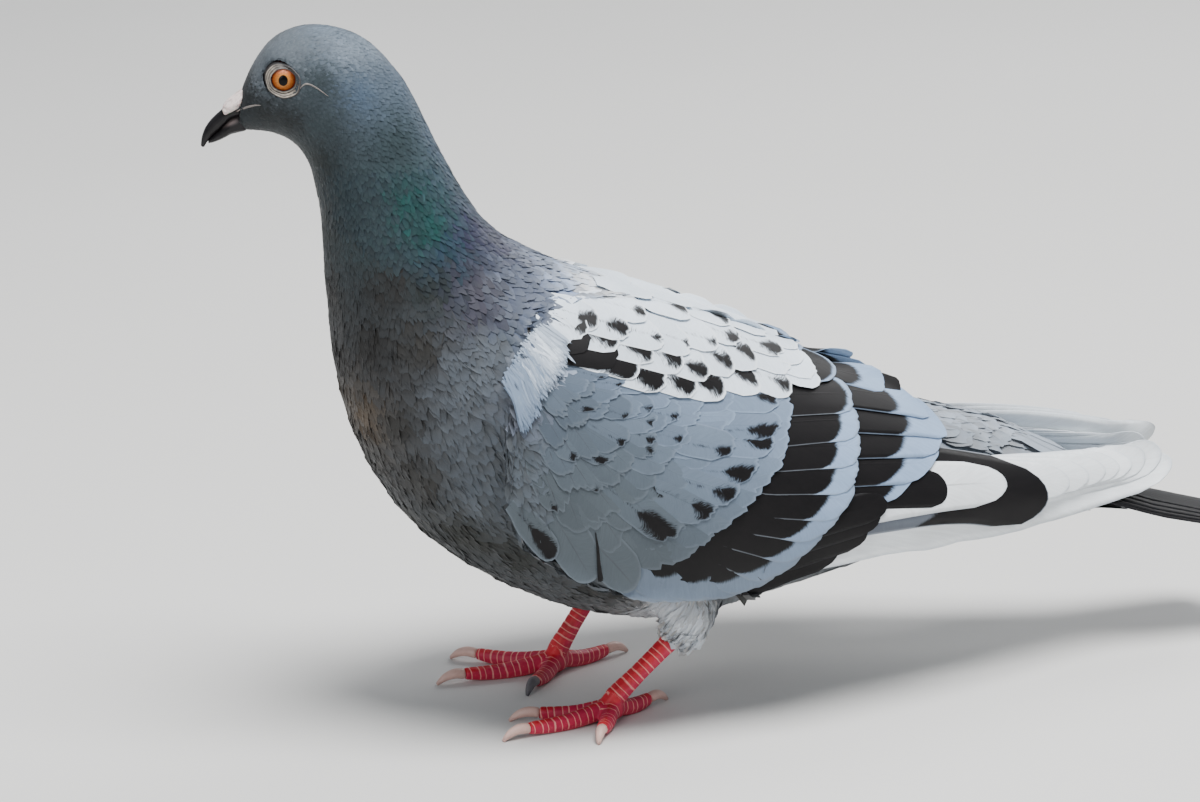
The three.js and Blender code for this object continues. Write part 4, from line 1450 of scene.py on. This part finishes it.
def eyeFinish():
    finish = Finish("eyeWet", Coat_Weight=0.6, Coat_Roughness=0.02, Coat_IOR=1.25, Specular_IOR_Level=0.05,
                    Roughness=0.4)
    x, z, _ = finish.attribute("iris").parts()
    away = (x ** 2 + z ** 2) ** 0.5
    wide, high = eye["pupil"]
    inPupil = (x / wide) ** 2 + (z / high) ** 2
    around = away + 0.3
    rays = finish.noise(finish.vector(x / around * 7, z / around * 7, away * 0.8), 2.2, 3)
    shade = finish.blend(away.between(1.4, 2.5), rgba(186, 126, 62), rgba(174, 98, 44))
    shade = finish.blend(away.between(2.6, 3.25), shade, rgba(152, 48, 22))
    # painted reflection: the top of the iris pinker
    shade = finish.blend(z.between(1.2, 3.2) * 0.6, shade, rgba(222, 150, 128))
    shade = finish.blend(rays.between(0.42, 0.66) * 0.55, shade, rgba(146, 74, 30))
    shade = finish.blend(away.between(3.2, 3.5), shade, rgba(40, 14, 10))
    shade = finish.blend(1 - inPupil.between(0.82, 1.12), shade, rgba(4, 3, 4))
    return finish.ready(Base_Color=shade, Normal=finish.bump(rays, 0.2))


def lidFinish():
    finish = Finish("eyeRing", Specular_IOR_Level=0.4)
    spots = finish.place()
    grain = finish.noise(spots, 3500, 2)
    coarse = finish.noise(spots, 900, 3).between(0.3, 0.7)
    shade = finish.blend(coarse, rgba(122, 115, 107), rgba(162, 153, 141))
    level, shadow, _ = finish.attribute("fold").parts()
    # painted shade: dark in the grooves between the folds
    shade = finish.blend(1 - level.between(0.3, 0.95), shade, rgba(48, 45, 45))
    # painted shadow: the upper rear of the ring darker, under the brow feathers
    shade = finish.blend(shadow * 0.75, shade, rgba(62, 61, 63))
    return finish.ready(Base_Color=shade, Roughness=0.42 + 0.2 * grain, Normal=finish.bump(grain))


def drawnOut(name, steps, **circle):             # a circle drawn out by (move, growth, centre) of each step
    bpy.ops.object.select_all(action="DESELECT")
    bpy.ops.mesh.primitive_circle_add(**circle)
    piece = bpy.context.object
    piece.name = name
    settle(piece)
    editAll(piece)
    for move, growth, centre in steps:
        bpy.ops.mesh.extrude_region_move(TRANSFORM_OT_translate={"value": move})
        bpy.ops.transform.resize(value=growth, center_override=centre)
    editDone()
    return piece


def foldedRing(name):                            # rings one outside the other along the folds' profile
    profile = eye["folds"]
    steps = [((0, (higher - high) * mm, 0), (wider / wide, 1, wider / wide), (0, 0, 0))
             for (wide, high), (wider, higher) in zip(profile, profile[1:])]
    return drawnOut(name, steps, vertices=120, radius=profile[0][0] * mm, rotation=(math.pi / 2, 0, 0))


def makeLids():
    material = lidFinish()
    rounds = np.linspace(-math.pi, math.pi, 49)
    middle, out, height = eye["centre"]
    for name, side in (("leftLids", -1), ("rightLids", 1)):
        ring = foldedRing(name)
        points = pointsOf(ring)
        far = np.hypot(points[:, 0], points[:, 2])
        turn = np.arctan2(points[:, 2], -points[:, 0])           # 0 towards the bill
        swell = 1 + 0.35 * np.cos(turn + 0.6) + 0.12 * np.sin(turn * 5 + far * 900) + 0.08 * np.sin(turn * 11)
        share = ease(far, *eye["across"])
        rim = [faceDepth(middle - math.cos(t) * eye["rim"], height + math.sin(t) * eye["rim"], side)
               for t in rounds]
        inner = out + np.sqrt(np.maximum((eye["ball"] * eye["wet"]) ** 2 - far ** 2, 0)) + eye["lidGap"]
        base = mixed(np.maximum(inner, out + eye["lidLow"]), np.interp(turn, rounds, np.abs(rim)), share)
        slim = np.cos(turn - eye["slimAt"])
        wobble = 1 + 0.02 * np.sin(turn * 2 + 1) + 0.012 * np.sin(turn * 7)
        wobble -= 0.17 * np.maximum(slim, 0) * share
        wide, high = eye["stretch"]
        placed = np.stack([points[:, 0] * wobble * wide, side * (base + points[:, 1] * swell),
                           points[:, 2] * wobble * high], -1)
        level = np.interp(far / mm, *zip(*eye["folds"])) / 0.4
        paint(ring, "fold", level, ease(slim, -0.3, 0.8))        # the lid above is thinner, and darker with painted shadow from the brow
        setPoints(ring, fromHead(placed + eye["centre"] * [1, 0, 1]))
        faceOut(ring)
        smooth(ring)
        hand(ring, material, "cere_skin")


bill = {
    "voxel": 0.22 * mm,
    "half": 3.3 * mm,
    "cereTop": [(-159.5, 181), (-152, 189)],     # the cere keeps only part of its depth below this line
    "cereDepth": 0.66,
    "cereRear": -151.5 * mm,
    "cereLength": 0.82,
    "groove": (0.75 * mm, 0.6 * mm),             # depth and half width between the two lobes of the cere
    "nostril": (-156, 3.0, 181.9),
    "patch": (-156.4, 177.6),                    # the pale place on the lower half
    "gape": [(-153.8, 181.2), (-152.8, 182), (-151.3, 182.9), (-149.5, 183.7), (-147.9, 184.2),
             (-146.4, 184.3)],
    "crease": [(-135.6, 189.6), (-134.6, 191.0), (-133.4, 191.6), (-131.6, 191.0), (-129.4, 189.6),
               (-127.2, 187.9)],
}


def smoothCopy(name, voxel, turns, *nodeNames, swell):
    piece = copyOf(name, *nodeNames)
    swellBy(piece, swell)
    melt(piece, voxel, turns)
    smooth(piece)
    return piece


def pushBack(points, start, amount, lift):       # the rear of a piece goes into the face, its top rises
    straight = headFrame(points)
    share = ease(straight[:, 0], start, start + 2.5 * mm) * amount
    straight[:, 0] += share
    straight[:, 2] += lift * share * np.clip((straight[:, 2] - 175.5 * mm) / (3.5 * mm), 0, 1)
    return fromHead(straight)


def cereFinish():
    finish = Finish("cerePowder", Specular_IOR_Level=0.3, Subsurface_Weight=0.1, Subsurface_Scale=0.0008)
    spots = finish.place()
    coarse = finish.noise(spots, 700, 4)
    grain = finish.noise(spots, 3000, 2)
    shade = finish.blend(coarse.between(0.45, 0.7), rgba(228, 214, 210), rgba(190, 174, 170))
    shade = finish.blend(finish.noise(spots, 1900, 2).between(0.6, 0.72) * 0.5, shade, rgba(130, 112, 110))
    return finish.ready(Base_Color=shade, Roughness=0.6 + 0.2 * grain,
                        Normal=finish.bump(grain + coarse * 0.5, 0.4))


def makeCere():
    cere = smoothCopy("cereSkin", bill["voxel"], 4, "cere", swell=0.3 * mm)
    points = pushBack(pointsOf(cere), -158.2 * mm, 1.6 * mm, 0.75)
    setPoints(cere, points)
    straight = headFrame(points)
    straight[:, 0] = bill["cereRear"] + (straight[:, 0] - bill["cereRear"]) * bill["cereLength"]
    straight[:, 2] -= 2.0 * mm * ease(straight[:, 0], -157.5 * mm, -152.5 * mm)
    above = np.interp(straight[:, 0] / mm, *zip(*bill["cereTop"])) * mm
    straight[:, 2] = above - (above - straight[:, 2]) * np.where(straight[:, 2] < above, bill["cereDepth"], 1)
    deep, half = bill["groove"]
    dent = deep * np.exp(-(straight[:, 1] / half) ** 2)
    for side in (1, -1):
        off = (straight - np.array(bill["nostril"]) * [1, side, 1] * mm) / mm
        dent += 0.6 * mm * np.exp(-(off[:, 0] / 1.3) ** 2 - (off[:, 2] / 0.35) ** 2 - (off[:, 1] / 1.2) ** 2)
    swell = 0.45 * mm * np.exp(-((np.abs(straight[:, 1]) - 2 * mm) / (1.3 * mm)) ** 2)
    setPoints(cere, fromHead(straight) + pointsOf(cere, "normal") * (swell - dent)[:, None])
    hand(cere, cereFinish(), "cere_skin", "cere")


def hornFinish():
    finish = Finish("billHorn", Specular_IOR_Level=0.2, Coat_Weight=0.1, Coat_Roughness=0.15)
    spots = finish.place()
    grain = finish.noise(spots, 1500, 3)
    cloud = finish.noise(spots, 280, 3)
    shade = finish.blend(cloud, rgba(9, 8, 10), rgba(30, 28, 30))
    shade = finish.blend(finish.attribute("pale") * (0.3 + 0.6 * cloud), shade, rgba(146, 132, 130))
    return finish.ready(Base_Color=shade, Roughness=0.3 + 0.25 * grain, Normal=finish.bump(grain, 0.25))


def makeBill():
    finish = hornFinish()
    for name, node in (("upperBill", "upper_bill"), ("lowerBill", "lower_bill")):
        lower = node == "lower_bill"
        piece = smoothCopy(name, bill["voxel"], 4, node, swell=0.38 * mm)
        setPoints(piece, pushBack(pointsOf(piece), -156 * mm, 3 * mm, 0.8 if lower else -0.15))
        x, y, z = headFrame(pointsOf(piece)).T / mm
        back, up = x - bill["patch"][0], z - bill["patch"][1]
        pale = np.exp(-(back / 2.6) ** 4 - ((up - 0.38 * back) / 0.62) ** 2) * (np.abs(y) > 1.2) * lower
        paint(piece, "pale", pale, pale, pale)
        hand(piece, finish, "bill_horn", node)


def ridge(name, path, side, thickness):          # a thin fold of bare skin along the face
    places = [fromHead(np.array([x * mm, faceDepth(x * mm, z * mm, side), z * mm])) for x, z in path]
    swells = [0.3] + [1.0] * (len(path) - 3) + [0.75, 0.3]
    steps = [(tuple(end - start), (after / before,) * 3, tuple(end))
             for start, end, before, after in zip(places, places[1:], swells, swells[1:])]
    piece = drawnOut(name, steps, vertices=10, radius=thickness * swells[0], location=places[0],
                     rotation=(0, math.pi / 2, 0), fill_type="NGON")
    faceOut(piece)
    modify(piece, "SUBSURF", levels=2)
    smooth(piece)
    return piece


def makeFolds():
    finish = Finish("paleFold", Specular_IOR_Level=0.4)
    grain = finish.noise(finish.place(), 1400, 3)
    shade = finish.blend(grain, rgba(80, 78, 78), rgba(150, 142, 136))
    material = finish.ready(Base_Color=shade, Roughness=0.45 + 0.2 * grain, Normal=finish.bump(grain))
    for name, side in (("left", -1), ("right", 1)):
        gape = ridge(name + "Gape", bill["gape"], side, 0.32 * mm)
        crease = ridge(name + "Crease", bill["crease"], side, 0.27 * mm)
        hand(joinAs(name + "Folds", crease, gape), material, "cere_skin")


# legs, feet and claws

legs = {
    "voxel": 0.42 * mm,
    "swell": 0.22 * mm,
    "scute": 2.15 * mm,                          # length of one scale, on leg and toe
    "relief": 0.16 * mm,
    "clawSwell": 0.3 * mm,
    "into": 9 * mm,                              # how far the top of the shank is pulled up into the thigh
    "left": {"ankle": (-31.6, -23, 24.5), "joint": (-52.6, -23, 6),
             "toes": [(-16, 29.5), (12, 36.5), (60, 22), (206, 23)]},        # heading and reach with the claw
    "right": {"ankle": (-39, 23, 28.5), "joint": (-53.5, 23, 6),
              "toes": [(50, 24), (0, 37), (-40, 33.5), (200, 27.5)]},
}


def limbPlaces(points, look):                    # how far along the nearest limb, and how much on top of it
    joint = np.array(look["joint"]) * mm
    limbs = [(np.array(look["ankle"]) * mm, joint)]
    for heading, reach in look["toes"]:
        turn = math.radians(heading)
        limbs.append((joint, joint + np.array([-math.cos(turn) * reach, -math.sin(turn) * reach, -4]) * mm))
    best = np.full(len(points), 1e9)
    along = np.zeros(len(points))
    upper = np.zeros(len(points))
    for number, (start, end) in enumerate(limbs):
        long = np.linalg.norm(end - start)
        way = (end - start) / long
        share = np.clip((points - start) @ way, 0, long)
        out = points - start - share[:, None] * way
        far = np.linalg.norm(out, axis=1)
        front = np.array([0.0, 0, 1] if number else [-1.0, 0, 0.6])
        front = front - way * (front @ way)
        near = far < best
        best[near] = far[near]
        along[near] = share[near] + number * 0.4 * mm
        upper[near] = (unit(out) @ (front / np.linalg.norm(front)))[near]
    return along, upper


def legFinish():
    finish = Finish("legScales", Specular_IOR_Level=0.45)
    scale, upper, _ = finish.attribute("scales").parts()
    spots = finish.place()
    grain = finish.noise(spots, 1200, 3)
    cloud = finish.noise(spots, 160, 3)
    cells = finish.node("ShaderNodeTexVoronoi", {"feature": "DISTANCE_TO_EDGE"},
                        {"Vector": spots, "Scale": 950.0})
    top = upper.between(-0.95, -0.8)
    scale = scale + (cloud - 0.5) * 0.5
    inner = scale - scale.maths("FLOOR", scale)
    gap = (1 - inner.between(0.05, 0.15)).orMore(inner.between(0.9, 0.97)) * top
    net = (1 - cells.between(0.02, 0.14)) * (1 - top)
    pale = (gap * (0.45 + 0.6 * grain)).orMore(net * 0.25)
    shade = finish.blend(cloud.between(0.3, 0.7), rgba(172, 14, 34), rgba(206, 26, 42))
    # painted shade: the sides and undersides of shank and toes pinker, the tone they take in shade
    shade = finish.blend((1 - upper.between(-0.2, 0.6)) * 0.6, shade, rgba(190, 36, 84))
    shade = finish.blend(grain.between(0.5, 0.8) * 0.25, shade, rgba(222, 110, 104))
    shade = finish.blend(pale, shade, rgba(240, 168, 156))
    height = cells.between(0.0, 0.2) * (1 - top) + grain * 0.3 - gap * 0.5
    return finish.ready(Base_Color=shade, Roughness=0.38 + 0.25 * grain,
                        Normal=finish.bump(height, 0.4, 0.14 * mm))


def makeLegs():
    finish = legFinish()
    for side in ("left", "right"):
        limbs = (side + "_shank", side + "_foot")
        leg = smoothCopy(side + "Leg", legs["voxel"], 5, *limbs, swell=legs["swell"])
        modify(leg, "SUBSURF", levels=1)
        points = pointsOf(leg)
        points[:, 2] = np.maximum(points[:, 2], 0.03 * mm)
        along, upper = limbPlaces(points, legs[side])
        shank = (np.array(legs[side]["ankle"]) - legs[side]["joint"]) * mm
        tall = np.linalg.norm(shank)
        far = (points - np.array(legs[side]["joint"]) * mm) @ shank / tall
        points += unit(shank) * (legs["into"] * ease(far, tall - 2 * mm, tall + 1 * mm))[:, None]
        rows = along / legs["scute"] + 0.12 * np.sin(along / mm * 1.3)
        inner = rows - np.floor(rows)
        bump = legs["relief"] * (1 - np.abs(2 * inner - 1) ** 4) * ease(upper, -0.6, -0.1)
        setPoints(leg, points + pointsOf(leg, "normal") * (bump - legs["relief"] * 0.4)[:, None])
        paint(leg, "scales", rows, upper)
        hand(leg, finish, "leg_skin", *limbs)
        print(leg.name, len(leg.data.polygons) * 2, "triangles")


def clawFinish(name, base, tip):
    finish = Finish(name, Specular_IOR_Level=0.5)
    spots = finish.place()
    grain = finish.noise(spots, 900, 3)
    low = 1 - spots.parts()[2].between(0.4 * mm, 2.6 * mm)
    shade = finish.blend(grain * 0.5 + low * 0.5, base, tip)
    return finish.ready(Base_Color=shade, Roughness=0.3 + 0.2 * grain, Normal=finish.bump(grain, 0.2))


def makeClaws():
    pink = clawFinish("clawPink", rgba(226, 188, 176), rgba(186, 150, 140))
    grey = clawFinish("clawGrey", rgba(112, 108, 112), rgba(60, 60, 66))
    toes = ["inner", "middle", "outer", "hind"]
    sets = [("leftClaws", pink, ["left_" + toe + "_claw" for toe in toes]),
            ("rightClaws", pink, ["right_" + toe + "_claw" for toe in toes[1:]]),
            ("rightInnerClaw", grey, ["right_inner_claw"])]
    for name, finish, nodeNames in sets:
        claws = copyOf(name, *nodeNames)
        swellBy(claws, legs["clawSwell"])
        modify(claws, "SUBSURF", levels=2)
        smooth(claws)
        hand(claws, finish, "claw_horn", *nodeNames)


# the white down at the top of the legs

down = {
    "count": 2300,
    "seed": 81,
    "sizes": (12.5 * mm, 1.0 * mm),
    "along": (-42 * mm, -14 * mm),               # where the roots are, in x, to each side and in z
    "aside": (12 * mm, 36 * mm),
    "up": (22 * mm, 36 * mm),
    "shape": dict(featherShapes["neck"], stray=0.22, stir=0.0, mottle=0.03, ragged=0.08, lift=0.35,
                  round=2.5),
}


def makeDown():
    x, y, z = outside.points.T
    inside = np.ones(len(x), bool)
    for values, (low, high) in ((x, down["along"]), (np.abs(y), down["aside"]), (z, down["up"])):
        inside &= (values > low) & (values < high)
    choice = np.random.default_rng(down["seed"]).choice(np.flatnonzero(inside), down["count"])
    made = smallFeathers("thighDown", outside.points[choice], down["seed"], down["shape"], down["sizes"])
    hand(made, finishes["white"], "leg_down")
    print("thigh down:", len(choice), "feathers")


makeBodyCoat()
makeDown()
makeSkin()
print("body coat made")
makeWings()
print("wings made")
makeTail()
print("tail made")
makeEyes()
makeLids()
makeCere()
makeBill()
makeFolds()
print("head made")
makeLegs()
makeClaws()
print("legs made")
